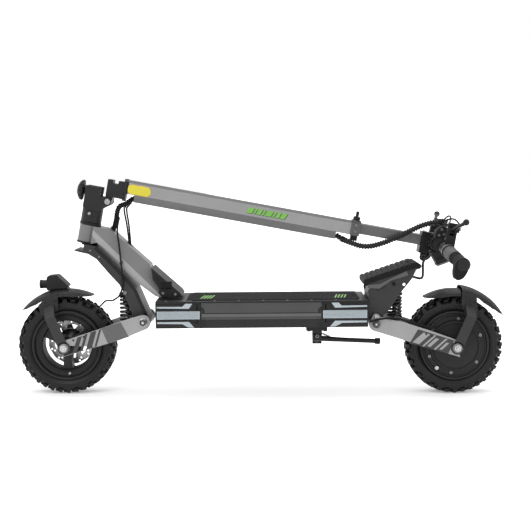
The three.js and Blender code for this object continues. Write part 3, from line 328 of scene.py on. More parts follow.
def smooth_path(points, step, closed=False):
    """Points at an even step along a Catmull-Rom curve through the given points."""
    p = [Vector(q) for q in points]
    dense = []
    count = len(p) if closed else len(p) - 1
    for i in range(count):
        a = p[i - 1] if i or closed else p[0] * 2 - p[1]
        b, c = p[i], p[(i + 1) % len(p)]
        d = p[(i + 2) % len(p)] if i + 2 < len(p) or closed else c * 2 - b
        for k in range(24):
            t = k / 24
            dense.append(0.5 * (
                2 * b + (c - a) * t + (2 * a - 5 * b + 4 * c - d) * t * t + (3 * b - a - 3 * c + d) * t ** 3
            ))
    dense.append(p[0] if closed else p[-1])
    lengths = [0.0]
    for a, b in zip(dense, dense[1:]):
        lengths.append(lengths[-1] + (b - a).length)
    total = lengths[-1]
    n = max(2, round(total / step))
    result, k = [], 0
    for i in range(n + (0 if closed else 1)):
        target = total * i / n
        while k < len(lengths) - 2 and lengths[k + 1] < target:
            k += 1
        span = max(lengths[k + 1] - lengths[k], 1e-9)
        result.append(dense[k].lerp(dense[k + 1], (target - lengths[k]) / span))
    return result


def tube(path, radius, sides=12, closed=False):
    """A round tube along ready-made points; radius is a number or a function of the point's index."""
    n = len(path)
    tangents = []
    for i in range(n):
        a = path[i - 1] if i or closed else path[0]
        b = path[(i + 1) % n] if i + 1 < n or closed else path[-1]
        tangents.append((b - a).normalized())
    normal = tangents[0].orthogonal().normalized()
    points, faces = [], []
    for i in range(n):
        if i:
            normal = tangents[i - 1].rotation_difference(tangents[i]) @ normal
        normal = (normal - tangents[i] * normal.dot(tangents[i])).normalized()
        across = tangents[i].cross(normal)
        r = radius(i) if callable(radius) else radius
        for k in range(sides):
            a = 2 * math.pi * k / sides
            points.append(path[i] + (normal * math.cos(a) + across * math.sin(a)) * r)
    for i in range(n if closed else n - 1):
        j = (i + 1) % n
        for k in range(sides):
            m = (k + 1) % sides
            faces.append((i * sides + k, i * sides + m, j * sides + m, j * sides + k))
    if not closed:
        faces.append(tuple(range(sides - 1, -1, -1)))
        faces.append(tuple((n - 1) * sides + k for k in range(sides)))
    return points, faces


def bolt(at, axis, radius, height):
    """A socket cap screw's head, its top facing along axis."""
    chamfer, socket = radius * 0.14, radius * 0.5
    rows = [(0, 0), (radius, 0), (radius, height - chamfer), (radius - chamfer, height),
            (socket, height), (socket, height * 0.45), (0, height * 0.45)]
    return lathe(rows, at, axis, 18)


def side_bolts(spots, y, radius, height, place=flat):
    """Screws at (x, z) spots on both sides, facing outwards."""
    return [bolt(place(x, side * y, z), (0, side, 0), radius, height) for side in BOTH for x, z in spots]


def sheet(outline, holes, y0, y1, bevel=0.6, resolution=2):
    """Flat stock in the XZ plane from y0 to y1, with holes given as outlines and rounded edges."""
    data = bpy.data.curves.new("outline", "CURVE")
    data.dimensions = "2D"
    data.fill_mode = "BOTH"
    data.extrude = max((y1 - y0) / 2 - bevel, 0.01)
    data.bevel_depth = bevel
    data.bevel_resolution = resolution
    data.offset = -bevel
    for ring in [outline, *holes]:
        spline = data.splines.new("POLY")
        spline.points.add(len(ring) - 1)
        for point, (x, z) in zip(spline.points, ring):
            point.co = (x, z, 0, 1)
        spline.use_cyclic_u = True
    holder = bpy.data.objects.new("outline", data)
    bpy.context.scene.collection.objects.link(holder)
    bpy.context.view_layer.update()
    mesh = bpy.data.meshes.new_from_object(holder.evaluated_get(bpy.context.evaluated_depsgraph_get()))
    middle = (y0 + y1) / 2
    points = [flat(v.co.x, middle - v.co.z, v.co.y) for v in mesh.vertices]
    faces = [tuple(p.vertices) for p in mesh.polygons]
    bpy.data.objects.remove(holder)
    bpy.data.curves.remove(data)
    bpy.data.meshes.remove(mesh)
    return points, faces


def around(cx, cz, radius, a):
    """The (x, z) point at an angle, in radians, on a circle."""
    return cx + radius * math.cos(a), cz + radius * math.sin(a)


def ring(cx, cz, radius, count=24, start=0.0, end=360.0):
    """Points round a circle or, between two angles in degrees, an arc with both its ends."""
    n = count if end - start >= 360 else count + 1
    return [around(cx, cz, radius, math.radians(start + (end - start) * i / count)) for i in range(n)]


def piece(name, part, material, body=None, replaces=(), slot=None, sharp=32, bevel=0.0):
    """Makes one object of a mesh part, or a list of them, in millimetres and puts it on a CAD body."""
    points, faces = part if isinstance(part, tuple) else merged(*part)
    mesh = bpy.data.meshes.new(name)
    mesh.from_pydata([tuple(Vector(p) * MM) for p in points], [], faces)
    bm = bmesh.new()
    bm.from_mesh(mesh)
    bmesh.ops.recalc_face_normals(bm, faces=bm.faces)
    for face in bm.faces:
        face.smooth = True
    for edge in bm.edges:
        edge.smooth = len(edge.link_faces) == 2 and edge.calc_face_angle(0) < math.radians(sharp)
    bm.to_mesh(mesh)
    bm.free()
    obj = bpy.data.objects.new(name, mesh)
    bpy.context.scene.collection.objects.link(obj)
    mesh.materials.append(M[material])
    if bevel:
        rounded(obj, bevel)
    if body:
        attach(obj, body)
    if replaces:
        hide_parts(*replaces)
    slot or SLOTS[material]
    return obj


BEVEL_SEGMENTS, BEVEL_ANGLE = 2, math.radians(28)


def rounded(obj, width):
    """Rounds the edges of an object that are sharper than BEVEL_ANGLE."""
    modifier = obj.modifiers.new("edge", "BEVEL")
    modifier.width = width * MM
    modifier.segments = BEVEL_SEGMENTS
    modifier.limit_method = "ANGLE"
    modifier.angle_limit = BEVEL_ANGLE
    modifier.harden_normals = True


def keep(node, material, bevel=0.8, pick=None):
    """A CAD node that stays, with a finish and rounded edges; pick chooses the finish of each face."""
    obj = NODES[node]
    mesh = obj.data
    mesh.materials.clear()
    names = [material] if isinstance(material, str) else material
    for m in names:
        mesh.materials.append(M[m])
    if pick:
        for polygon in mesh.polygons:
            polygon.material_index = pick(Vector(polygon.center) / MM, polygon.normal)
    if bevel:
        weld = obj.modifiers.new("join", "WELD")
        weld.merge_threshold = 0.00002
        clean = obj.modifiers.new("planes", "DECIMATE")
        clean.decimate_type = "DISSOLVE"
        clean.angle_limit = math.radians(0.6)
        clean.delimit = {"MATERIAL"}
        rounded(obj, bevel)
    return obj


# ---------------------------------------------- wheels
TYRE_SECTION = [
    (88, -26), (93, -30), (96, -31.5), (98, -33.2), (101, -34.2), (102, -34.9), (103.5, -34.9), (104.5,
            -34.2),
    (108, -34.3), (109, -34.9), (110.5, -34.7), (111.5, -34.0), (114, -32.4), (116.6, -29), (118, -23),
    (118.8, -12), (119, 0),
]


def mirrored(section):
    """A closed (radius, y) section from the half on the -Y side."""
    other = [(r, -y) for r, y in reversed(section) if abs(y) > 1e-6]
    return [*section, *other, section[0]]


def lug(x, angle, section, half, lean=0.0):
    """One tread block: a (y, radius) section, half long each way round the tyre, narrower at its top."""
    centre = Vector((x, 0, AXLE_Z))
    low = min(r for _, r in section)
    points = []
    for end in (-1, 1):
        for y, r in section:
            t = end * half * (1 - 0.18 * (r - low) / 8) + lean * y
            a = angle + t / r
            points.append(centre + Vector((math.cos(a) * r, y, math.sin(a) * r)))
    n = len(section)
    faces = [tuple(range(n)), tuple(range(2 * n - 1, n - 1, -1))]
    faces += [(i, i + n, (i + 1) % n + n, (i + 1) % n) for i in range(n)]
    return points, faces


def tyre(side, x):
    body = f"{side}_wheel"
    carcass = lathe(mirrored(TYRE_SECTION), (x, 0, AXLE_Z), segments=96)
    piece(f"{side}_tyre_carcass", carcass, "tyre", body, [f"{side}_tyre"], sharp=40)
    shoulder = [(19, 116.5), (19, 127.2), (26, 127.0), (32, 124.8), (35.2, 116), (34.4, 111), (30, 112.5)]
    short = [(20, 116.5), (20, 127.1), (27, 126.4), (32.6, 123.0), (34.2, 117.5), (29, 114)]
    inner = [(3.5, 117.5), (3.5, 127.3), (15.5, 127.2), (15.5, 117.5)]
    wedge = [(8, 117.5), (8, 127.3), (16.5, 127.0), (16.5, 117.5)]
    lugs = []
    count = 36
    for i in range(count):
        a = 2 * math.pi * i / count
        half_step = math.pi / count
        for flip in BOTH:
            turn = a + (half_step if flip > 0 else 0)
            outer = shoulder if i % 2 else short
            lugs.append(lug(x, turn, [(flip * y, r) for y, r in outer], 6.3, flip * 0.10))
            lugs.append(lug(x, turn + half_step, [(flip * y, r) for y, r in (inner if i % 2 else wedge)],
                            6.8, flip * 0.35))
    piece(f"{side}_tyre_tread", lugs, "tyre", body, sharp=20)


RIM_SECTION = [
    (64, -20), (64.6, -25), (66.5, -27.5), (77, -29.5), (79, -29), (79.8, -25), (83, -25), (84, -30), (86,
            -31.5),
    (91.5, -31), (91.5, -27), (86, -24), (78, -20), (70, -8),
]


def front_rim():
    at = (FRONT_X, 0, AXLE_Z)
    ring_part = lathe(mirrored(RIM_SECTION), at, segments=96)
    piece("front_rim_ring", ring_part, "black", "front_wheel", ["front_rim"], "wheel_black", sharp=30)
    lips = []
    for side in BOTH:
        lip = [(84.6, 29), (85, 33), (86.2, 34.2), (89.6, 34.2), (91, 32.8), (91.2, 29), (84.6, 29)]
        lips.append(lathe([(r, side * y) for r, y in lip], at, segments=96))
    piece("front_rim_lips", lips, "guard", "front_wheel", slot="wheel_black", sharp=40)
    spokes = []
    for angle in (-90, 30, 150):
        a = math.radians(angle)
        c, s = math.cos(a), math.sin(a)

        def place(u, y, v, c=c, s=s):
            return Vector((FRONT_X + u * c - v * s, y, AXLE_Z + u * s + v * c))

        outline = [(18, -11), (40, -10), (60, -12.5), (66, -17), (66, 17), (60, 12.5), (40, 10), (18, 11)]
        spokes.append(prism(outline, -19, 19, place))
        for y0, y1 in ((-20.6, -18.5), (18.5, 20.6)):
            spokes.append(prism([(26, -5.5), (58, -7), (58, 7), (26, 5.5)], y0, y1, place))
    piece("front_rim_spokes", spokes, "graphite_dark", "front_wheel", slot="wheel_black", bevel=1.2)
    hub = [
        (6.3, -38), (15, -38), (16, -36.5), (16, -31), (22, -30), (23.5, -28), (23.5, 28), (26, 34), (26,
                38), (6.3, 38),
        (6.3, -38),
    ]
    piece("front_hub", lathe(hub, at, segments=48), "black", "front_wheel", slot="wheel_black", sharp=25)
    valve = tube([Vector((FRONT_X + 4, -26, AXLE_Z - 79)), Vector((FRONT_X + 6, -31, AXLE_Z - 75.5))], 3,
                 16)
    cap = lathe([(0, 0), (3.6, 0), (3.6, 6), (2.8, 7.4), (0, 7.4)], (FRONT_X + 6, -30, AXLE_Z - 76),
                (0.3, -0.8, 0.5), 16)
    piece("front_valve", merged(valve, cap), "steel", "front_wheel")


DISC_R = 62.0


def brake_disc():
    cx, cz = FRONT_X, AXLE_Z
    outline = []
    for i in range(96):
        a = 2 * math.pi * i / 96
        r = DISC_R - 0.9 - 0.8 * math.cos(12 * a)
        outline.append(around(cx, cz, r, a))
    holes = []
    for i in range(24):
        a = 2 * math.pi * (i + 0.5 * (i % 2)) / 24
        r = 56.5 if i % 2 else 51.5
        holes.append(ring(*around(cx, cz, r, a), 2.5, 12))
    for i in range(6):
        a0 = 60 * i
        window = ring(cx, cz, 45.5, 8, a0 + 8, a0 + 44)
        window += list(reversed(ring(cx, cz, 35, 8, a0 + 14, a0 + 50)))
        holes.append(window)
    plate = sheet(outline, holes, 45.2, 47.6, 0.3, 1)
    piece("brake_disc_plate", plate, "disc", "front_wheel", ["brake_disc"], sharp=30)
    carrier = [(10, 38.5), (26, 38.5), (30, 44), (34, 44.4), (34, 45.4), (10, 45.4), (10, 38.5)]
    bolts = []
    for i in range(6):
        bx, bz = around(cx, cz, 30.5, 2 * math.pi * (i + 0.5) / 6)
        bolts.append(bolt((bx, 47.4, bz), (0, 1, 0), 4, 2.6))
    parts = merged(lathe(carrier, (cx, 0, cz), segments=48), *bolts)
    piece("brake_disc_carrier", parts, "graphite_dark", "front_wheel", slot="wheel_black")


MOTOR_SECTION = [
    (6.3, -52), (12, -52), (13, -51), (18, -50.6), (19, -48.6), (30, -47.4), (56, -45.4), (57.4,
            -44.9), (58.2, -43.2),
    (60.6, -43.2), (61.2, -44.6), (62.2, -45.2), (64.4, -45.2), (65.4, -44.2), (66, -38), (67,
            -36.6), (77.4, -36.2),
    (78.4, -33.4), (80, -32.2), (83.6, -32), (84.6, -33.4), (85.6, -34.4), (89.4, -34.4), (90.8,
            -33.4), (91.4, -29),
    (87, -25), (83, 0),
]


def hub_motor():
    at = (REAR_X, 0, AXLE_Z)
    piece("hub_motor_shell", lathe(mirrored(MOTOR_SECTION), at, segments=96), "motor", "rear_wheel",
          ["hub_motor"], sharp=22)
    lips = []
    for side in BOTH:
        for r0, r1, y in ((85.2, 90.4, 34.2), (62.0, 64.8, 45.0)):
            lip = [(r0, y - 1), (r0 + 0.5, y + 0.7), (r1 - 0.5, y + 0.7), (r1, y - 1), (r0, y - 1)]
            lips.append(lathe([(r, side * h) for r, h in lip], at, segments=96))
    piece("hub_motor_rings", lips, "guard", "rear_wheel", slot="wheel_black", sharp=40)
    spots = [around(REAR_X, AXLE_Z, 71.6, math.radians(83 - 60 * i)) for i in range(6)]
    bolts = side_bolts(spots, 36, 4.4, 3.4)
    piece("hub_motor_bolts", bolts, "bolt", "rear_wheel")
    vx, vz = around(REAR_X, AXLE_Z, 75, math.radians(-128))
    rows = [(0, 0), (5.6, 0), (5.6, 5), (4.8, 6), (2.6, 6), (2.6, 4), (0, 4)]
    piece("rear_valve", lathe(rows, (vx, -33, vz), (0, -1, 0), 20), "steel", "rear_wheel")


def axle(side, x):
    shaft = tube([Vector((x, -86.4, AXLE_Z)), Vector((x, 86.4, AXLE_Z))], 5.0, 24)
    washers, nuts = [], [shaft]
    for flip in BOTH:
        rows = [(5, 0), (12.4, 0), (12.4, 1.2), (11.8, 1.8), (5, 1.8), (5, 0)]
        washers.append(lathe(rows, (x, flip * 81.8, AXLE_Z), (0, flip, 0), 36))
        rows = [(0, 0), (9.4, 0), (9.4, 3.2), (8.4, 4.0), (5.6, 4.0), (5.2, 3.4), (4.6, 5.2), (0, 5.4)]
        nuts.append(lathe(rows, (x, flip * 83.4, AXLE_Z), (0, flip, 0), 6, 0.3))
    piece(f"{side}_axle_washers", washers, "bolt", f"{side}_arm", sharp=25)
    piece(f"{side}_axle_nuts", nuts, "steel", f"{side}_arm", [f"{side}_axle"], sharp=25)


# ---------------------------------------------- swing arms
def arc(cx, cz, radius, start, end, count):
    """An arc from one angle to another in either direction."""
    return ring(cx, cz, radius, count, start, end) if end > start else list(reversed(ring(cx, cz, radius,
            count, end, start)))


FRONT_ARM = [
    (-503.5, 148), (-426.5, 173.4), (-341.6, 203), (-309, 212.2), *arc(*FRONT_PIVOT, 19, 90, -65, 16),
    (-362, 149), (-426.5, 129.7), (-517, 103),
]
REAR_ARM = [
    (284, 203), *arc(297.5, 205, 11, 170, 20, 10), (332.4, 201), (358, 197.8), (435.3, 173.4), (503.5, 149),
    (516, 103.5), (435.3, 127.1), (371, 147.7), *arc(*REAR_PIVOT, 19, -115, -190, 10),
]


def swing_arm(side, outline, axle_x, pivot, shock_x):
    body = f"{side}_arm"
    holes = [ring(axle_x, AXLE_Z, 6.4, 20), ring(*pivot, 6.4, 20)]
    plates = merged(sheet(outline, holes, -ARM_FACE, -68, 1.2), sheet(outline, holes, 68, ARM_FACE, 1.2))
    piece(f"{side}_arm_plates", plates, "silver", body, [f"{side}_arm"], sharp=35)
    cross = tube([Vector((shock_x, -69, SHOCK_LOW)), Vector((shock_x, 69, SHOCK_LOW))], 6, 24)
    piece(f"{side}_arm_cross_pin", cross, "graphite_dark", body)
    axle_at = Vector((axle_x, 0, AXLE_Z))
    along = (Vector((pivot[0], 0, pivot[1])) - axle_at).normalized()
    up = Vector((-along.z, 0, along.x)) * (1 if along.x > 0 else -1)

    def on_arm(s, y, t):
        return axle_at + along * s + up * t + SIDE * y

    def graphic(outline_st, flip, lift=0.25):
        return prism(outline_st, flip * (ARM_FACE - 0.3), flip * (ARM_FACE + lift), on_arm)

    return on_arm, graphic


def front_arm():
    on_arm, graphic = swing_arm("front", FRONT_ARM, FRONT_X, FRONT_PIVOT, FRONT_SHOCK_X)
    panel, bars = [], []
    for flip in BOTH:
        panel.append(graphic([(112, -23.4), (169, -23.9), (161, 19.2), (108, 18.6)], flip))
        for s0, width, low, high in ((16, 13, -20.5, 15.5), (37, 8, -21, 17.3), (53, 16, -21.4, 17.4),
                                     (76, 6, -21.8, 17.6)):
            bars.append(graphic([(s0, low), (s0 + width, low), (s0 + width + 26, high), (s0 + 26, high)],
                                flip, 0.45))
    piece("front_arm_panels", panel, "arm_mid", "front_arm")
    piece("front_arm_bars", bars, "arm_dark", "front_arm")
    dots = side_bolts(((30, 12), (58, 12)), ARM_FACE, 2.4, 1.4, on_arm)
    piece("front_arm_screws", dots, "black", "front_arm")


def rear_arm():
    on_arm, graphic = swing_arm("rear", REAR_ARM, REAR_X, REAR_PIVOT, REAR_SHOCK_X)
    frames, bars = [], []
    for flip in BOTH:
        frames.append(graphic([(18, -20.4), (122, -23.2), (112, 17.8), (14, 16.8)], flip))
        for s0, w0, low, high, lean in (
            (98, 18, -18.5, 13.5, -20), (84, 5, -21, 15.5, -22), (68, 9, -17, 9, -16), (53, 5, -20.5, 15.2,
                    -22),
            (37, 7, -16, 6, -13),
        ):
            bars.append(graphic([(s0, low), (s0 + w0, low), (s0 + w0 + lean, high), (s0 + lean, high)],
                                flip, 0.5))
    piece("rear_arm_border", frames, "arm_dark", "rear_arm")
    piece("rear_arm_bars", bars, "silver", "rear_arm")
    dots = side_bolts(((72, 11), (88, 11.5)), ARM_FACE, 2.4, 1.4, on_arm)
    piece("rear_arm_screws", dots, "black", "rear_arm")


def pivot_bolts():
    """Domed caps outside both arm pivots."""
    def cap(at, flip, radius, lift):
        rows = [(0, 0), (radius, 0), (radius, lift * 0.55), (radius - 1.2, lift * 0.8), (radius * 0.7, lift),
                (radius * 0.62, lift * 0.7), (radius * 0.42, lift * 0.7), (radius * 0.3, lift * 1.05),
                (0, lift * 1.15)]
        return lathe(rows, (at[0], flip * 78.2, at[1]), (0, flip, 0), 36)

    front = [cap(FRONT_PIVOT, flip, 11.5, 5) for flip in BOTH]
    piece("front_pivot_caps", front, "steel", "steerer", sharp=40)
    rear = [cap(REAR_PIVOT, flip, 9.8, 5) for flip in BOTH]
    rear += [cap((297.5, 205.5), flip, 6.6, 3.4) for flip in BOTH]
    piece("rear_pivot_caps", rear, "steel", "frame", sharp=40)


# ---------------------------------------------- shocks
def shock(side, x, turns, wire):
    up, down = f"{side}_shock_upper", f"{side}_shock_lower"
    eye = band(4.5, 9, -9, 9)
    cup = [(0, 256.8), (20.5, 256.8), (21.5, 258), (21.5, 262), (19, 264.5), (11, 266), (0, 266)]
    can = [(6.6, 229), (10.5, 229), (12, 231), (12, 256), (13.6, 257), (6.6, 257), (6.6, 229)]
    upper = merged(
        lathe(eye, (x, 0, SHOCK_TOP), segments=32), lathe(cup, (x, 0, 0), (0, 0, 1), 48),
        lathe(can, (x, 0, 0), (0, 0, 1), 40),
    )
    piece(f"{side}_shock_can", upper, "black", up, [f"{side}_shock_body"], sharp=30)
    low_eye = band(6.6, 10.8, -9, 9)
    seat = [(0, 189), (12, 189), (19.5, 191), (21.5, 193), (21.5, 195), (20, 196), (7, 196.2), (0, 196.2)]
    piece(f"{side}_shock_seat", merged(
        lathe(low_eye, (x, 0, SHOCK_LOW), segments=32), lathe(seat, (x, 0, 0), (0, 0, 1), 48)
    ), "black", down, [f"{side}_shock_rod"], sharp=30)
    rod = tube([Vector((x, 0, 190)), Vector((x, 0, 239))], 5.8, 24)
    piece(f"{side}_shock_piston", rod, "steel", down)
    path, low, high = [], 199.8, 253.2
    count = int(turns * 28)
    for i in range(count + 1):
        a = 2 * math.pi * turns * i / count
        ease = (high - low) * (0.5 - 0.5 * math.cos(math.pi * i / count)) * 0.25
        rise = low + ease + (high - low) * 0.75 * i / count
        path.append(Vector((x + 17.4 * math.cos(a), 17.4 * math.sin(a), rise)))
    coil = piece(f"{side}_shock_coil", tube(path, wire, 12), "spring",
                 replaces=[f"{side}_spring"], sharp=50)
    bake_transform(coil)


# ---------------------------------------------- mudguards, lamp and caliper
GUARD_SECTION = [
    (0, 0.0), (14, -0.1), (15, -1.0), (26, -1.5), (27, -2.4), (37, -4.0), (38, -5.0), (43.5, -7.6), (45.4,
            -9.0),
    (45.6, -11.4), (46.8, -12.4), (47, -16),
]
GUARD_WALL = 2.6


def guard_shell(x, spans):
    """A ribbed mudguard swept round the wheel: each span is (radius, angle, tip) at its start and at its end.

    tip is the number of degrees by which the skirt stops short there; 0 at a seam between spans.
    """
    half = GUARD_SECTION
    inner = []
    for y, d in half:
        slope = min(1.0, max(0.0, (y - 36) / 10))
        inner.append((max(0.0, y - GUARD_WALL * slope), d - GUARD_WALL * (1 - 0.6 * slope)))
    outer_row = [(-y, d) for y, d in reversed(half[1:])] + half
    inner_row = [(-y, d) for y, d in reversed(inner[1:])] + inner
    loop = outer_row + list(reversed(inner_row))
    n = len(loop)
    parts = []
    for (r0, start, tip0), (r1, end, tip1) in spans:
        steps = max(10, int(abs(end - start) / 2.5))
        sign = 1 if end > start else -1
        points, faces = [], []
        for i in range(steps + 1):
            f = i / steps
            near = min(1.0, f * steps / 5) if tip0 else 1.0
            near = min(near, (1 - f) * steps / 5) if tip1 else near
            for y, d in loop:
                depth = min(1.0, max(0.0, -d / 16))
                a = start + sign * tip0 * depth + (end - start - sign * (tip0 + tip1) * depth) * f
                a = math.radians(a)
                r = r0 + (r1 - r0) * f + d * (0.55 + 0.45 * near)
                points.append(Vector((x + r * math.cos(a), y, AXLE_Z + r * math.sin(a))))
        for i in range(steps):
            for k in range(n):
                m = (k + 1) % n
                faces.append((i * n + k, i * n + m, (i + 1) * n + m, (i + 1) * n + k))
        faces.append(tuple(range(n - 1, -1, -1)))
        faces.append(tuple(steps * n + k for k in range(n)))
        parts.append((points, faces))
    return merged(*parts)


def stay(x, plate_outline, ribs):
    """The plates under a mudguard, with their ribs."""
    parts = []
    for flip in BOTH:
        outline = [(x + dx, AXLE_Z + dz) for dx, dz in plate_outline]
        parts.append(prism(outline, flip * 44.5, flip * 47.6))
        for (ax, az), (bx, bz) in ribs:
            p = [Vector((x + ax, flip * 47.6, AXLE_Z + az)), Vector((x + bx, flip * 47.6, AXLE_Z + bz))]
            parts.append(tube(p, 1.3, 8))
    return parts


def strut_part(x, points, flip):
    """One bent strut from the mudguard down to the axle, and the eye at its foot."""
    (ax, az), (bx, bz), (cx, cz) = points
    y_top, y_low = flip * 46.0, flip * 80.0
    path = [Vector((x + ax, y_top, AXLE_Z + az)), Vector((x + bx, y_low, AXLE_Z + bz)),
            Vector((x + cx, y_low, AXLE_Z + cz))]
    half, thick = 13.0, 1.5
    down = (path[2] - path[0])
    down.y = 0
    down.normalize()
    across = Vector((-down.z, 0, down.x))
    rows = []
    for p, w in ((path[0], half + 1), (path[1], half), (path[2], half)):
        corners = ((-1, -thick), (1, -thick), (1, thick), (-1, thick))
        rows.append([p + across * s * w + SIDE * t for s, t in corners])
    points_out = [q for row in rows for q in row]
    faces = [(3, 2, 1, 0), (8, 9, 10, 11)]
    for i in range(2):
        for k in range(4):
            m = (k + 1) % 4
            faces.append((4 * i + k, 4 * i + m, 4 * i + 4 + m, 4 * i + 4 + k))
    eye = band(6.4, 16.6, -1.5, 1.5)
    return [(points_out, faces), lathe(eye, (x, y_low, AXLE_Z), segments=40)]


def mudguard(side, x, spans, plate_outline, strut, ribs, dimples):
    body = f"{side}_arm"
    shell = guard_shell(x, spans)
    piece(f"{side}_mudguard_shell", shell, "guard", body, [f"{side}_mudguard"], sharp=24)
    piece(f"{side}_mudguard_stays", stay(x, plate_outline, ribs), "guard", body, bevel=0.9)
    legs = [part for flip in BOTH for part in strut_part(x, strut, flip)]
    screws = side_bolts([(x + dx, AXLE_Z + dz) for dx, dz in dimples], 47.4, 3.8, 1.6)
    piece(f"{side}_mudguard_struts", legs, "graphite", body, bevel=0.6)
    piece(f"{side}_mudguard_screws", screws, "black", body)


def headlight():
    keep("headlight", "plastic", 1.2)
    rim = [(7.5, 0), (11, 0), (11.8, 1.2), (11.8, 5), (10.8, 6), (9.8, 6), (9, 4.6), (7.5, 4.6), (7.5, 0)]
    at = (-575, 0, 286)
    piece("headlight_bezel", lathe(rim, at, (-1, 0, 0), 40), "black", "front_arm")
    glass = [(0, 0), (9.2, 0), (9.2, 3.2), (7.2, 4.4), (4.2, 5.0), (0, 5.3)]
    piece("headlight_lens", lathe(glass, at, (-1, 0, 0), 40), "lens", "front_arm", sharp=60)
    fins = [block(-553 + 9 * i, -550 + 9 * i, -25, 25, 280 + 1.2 * i, 302 - 1.5 * i) for i in range(4)]
    piece("headlight_fins", fins, "plastic", "front_arm", bevel=0.6)
    foot = prism([(-557, 277), (-508, 279.5), (-500, 268), (-552, 266)], -17, 17)
    piece("headlight_foot", foot, "plastic", "front_arm", bevel=0.8)
    # a lighter plate on the lamp's top: a painted highlight of its top face
    top = prism([(-556, 308), (-534, 310.2), (-534, 311.8), (-556, 309.8)], -18, 18)
    piece("headlight_top_highlight", top, "guard", "front_arm", bevel=0.5)


def caliper():
    keep("caliper", "graphite_dark", 1.2)
    cx, cz = FRONT_X + 46, AXLE_Z + 54
    bolts = [bolt((cx + dx, 60, cz + dz), (0, 1, 0), 4, 3) for dx, dz in ((-10, 3), (12, 4))]
    bolts += [bolt((cx + dx, 38.6, cz + dz), (0, -1, 0), 3.4, 2.2) for dx, dz in ((-9, 2), (10, 5))]
    piece("caliper_bolts", bolts, "steel", "front_arm")
    arm = prism([(cx - 26, cz + 8), (cx - 6, cz + 17), (cx + 6, cz + 27), (cx + 9, cz + 24),
                 (cx - 2, cz + 11), (cx - 24, cz + 3)], 52, 56)
    piece("caliper_arm", arm, "steel", "front_arm", bevel=0.6)
    pads = block(cx - 16, cx + 2, 42.4, 44.4, cz - 10, cz + 6)
    piece("caliper_pad", pads, "brass", "front_arm", bevel=0.4)


# ---------------------------------------------- deck
DECK_LOW, DECK_SIDE, SKIN_BEND, LID_Z = 182.7, 103.0, 206.0, 249.0


def on_skin(side):
    """Places (x, out, z) on the deck's side wall, out millimetres outside it; side is -1 or 1."""
    def place(x, out, z):
        y = DECK_SIDE - (9 * (SKIN_BEND - z) / (SKIN_BEND - DECK_LOW) if z < SKIN_BEND else 0)
        return deck(x, side * (y + out), z)
    return place


def skin_prism(outline, out, side):
    """A flat outline wrapped on the deck's side wall; it gets extra points where the wall bends."""
    rich = []
    for (x0, z0), (x1, z1) in zip(outline, outline[1:] + outline[:1]):
        rich.append((x0, z0))
        if (z0 - SKIN_BEND) * (z1 - SKIN_BEND) < 0:
            f = (SKIN_BEND - z0) / (z1 - z0)
            rich.append((x0 + (x1 - x0) * f, SKIN_BEND))
    return prism(rich, -1.5, out, on_skin(side))


def side_lights(end, x_out, x_in):
    """Clear light guides in a dark panel: a kinked strip above, a ribbed bar, and a kinked strip below."""
    d = 1 if x_in > x_out else -1
    span = abs(x_in - x_out)

    def at(s):
        return x_out + d * s

    panels, strips, ribs = [], [], []
    for side in BOTH:
        panels.append(skin_prism(rect(at(-1), at(span - 2), 195, 244), 0.3, side))
        strips.append(skin_prism([(at(2), 236), (at(84), 234.2), (at(93), 247.4), (at(75), 247.4),
                                  (at(67), 239.6), (at(2), 240)], 0.9, side))
        strips.append(skin_prism(rect(at(2), at(span + 6), 207.4, 228), 1.3, side))
        strips.append(skin_prism([(at(2), 195.4), (at(66), 194.4), (at(82), 185.2), (at(97), 184.4),
                                  (at(84), 200.6), (at(2), 200.4)], 0.9, side))
        for i in range(6):
            z = 210 + i * 3.2
            ribs.append(prism(rect(at(4), at(span + 4), z, z + 1.3), 1.0, 1.9, on_skin(side)))
    piece(f"{end}_light_panels", panels, "plastic", "frame", [f"{end}_side_lights"], sharp=20)
    piece(f"{end}_light_guides", strips, "lens", "frame", bevel=0.5)
    piece(f"{end}_light_ribs", ribs, "lens_rib", "frame", bevel=0.3)


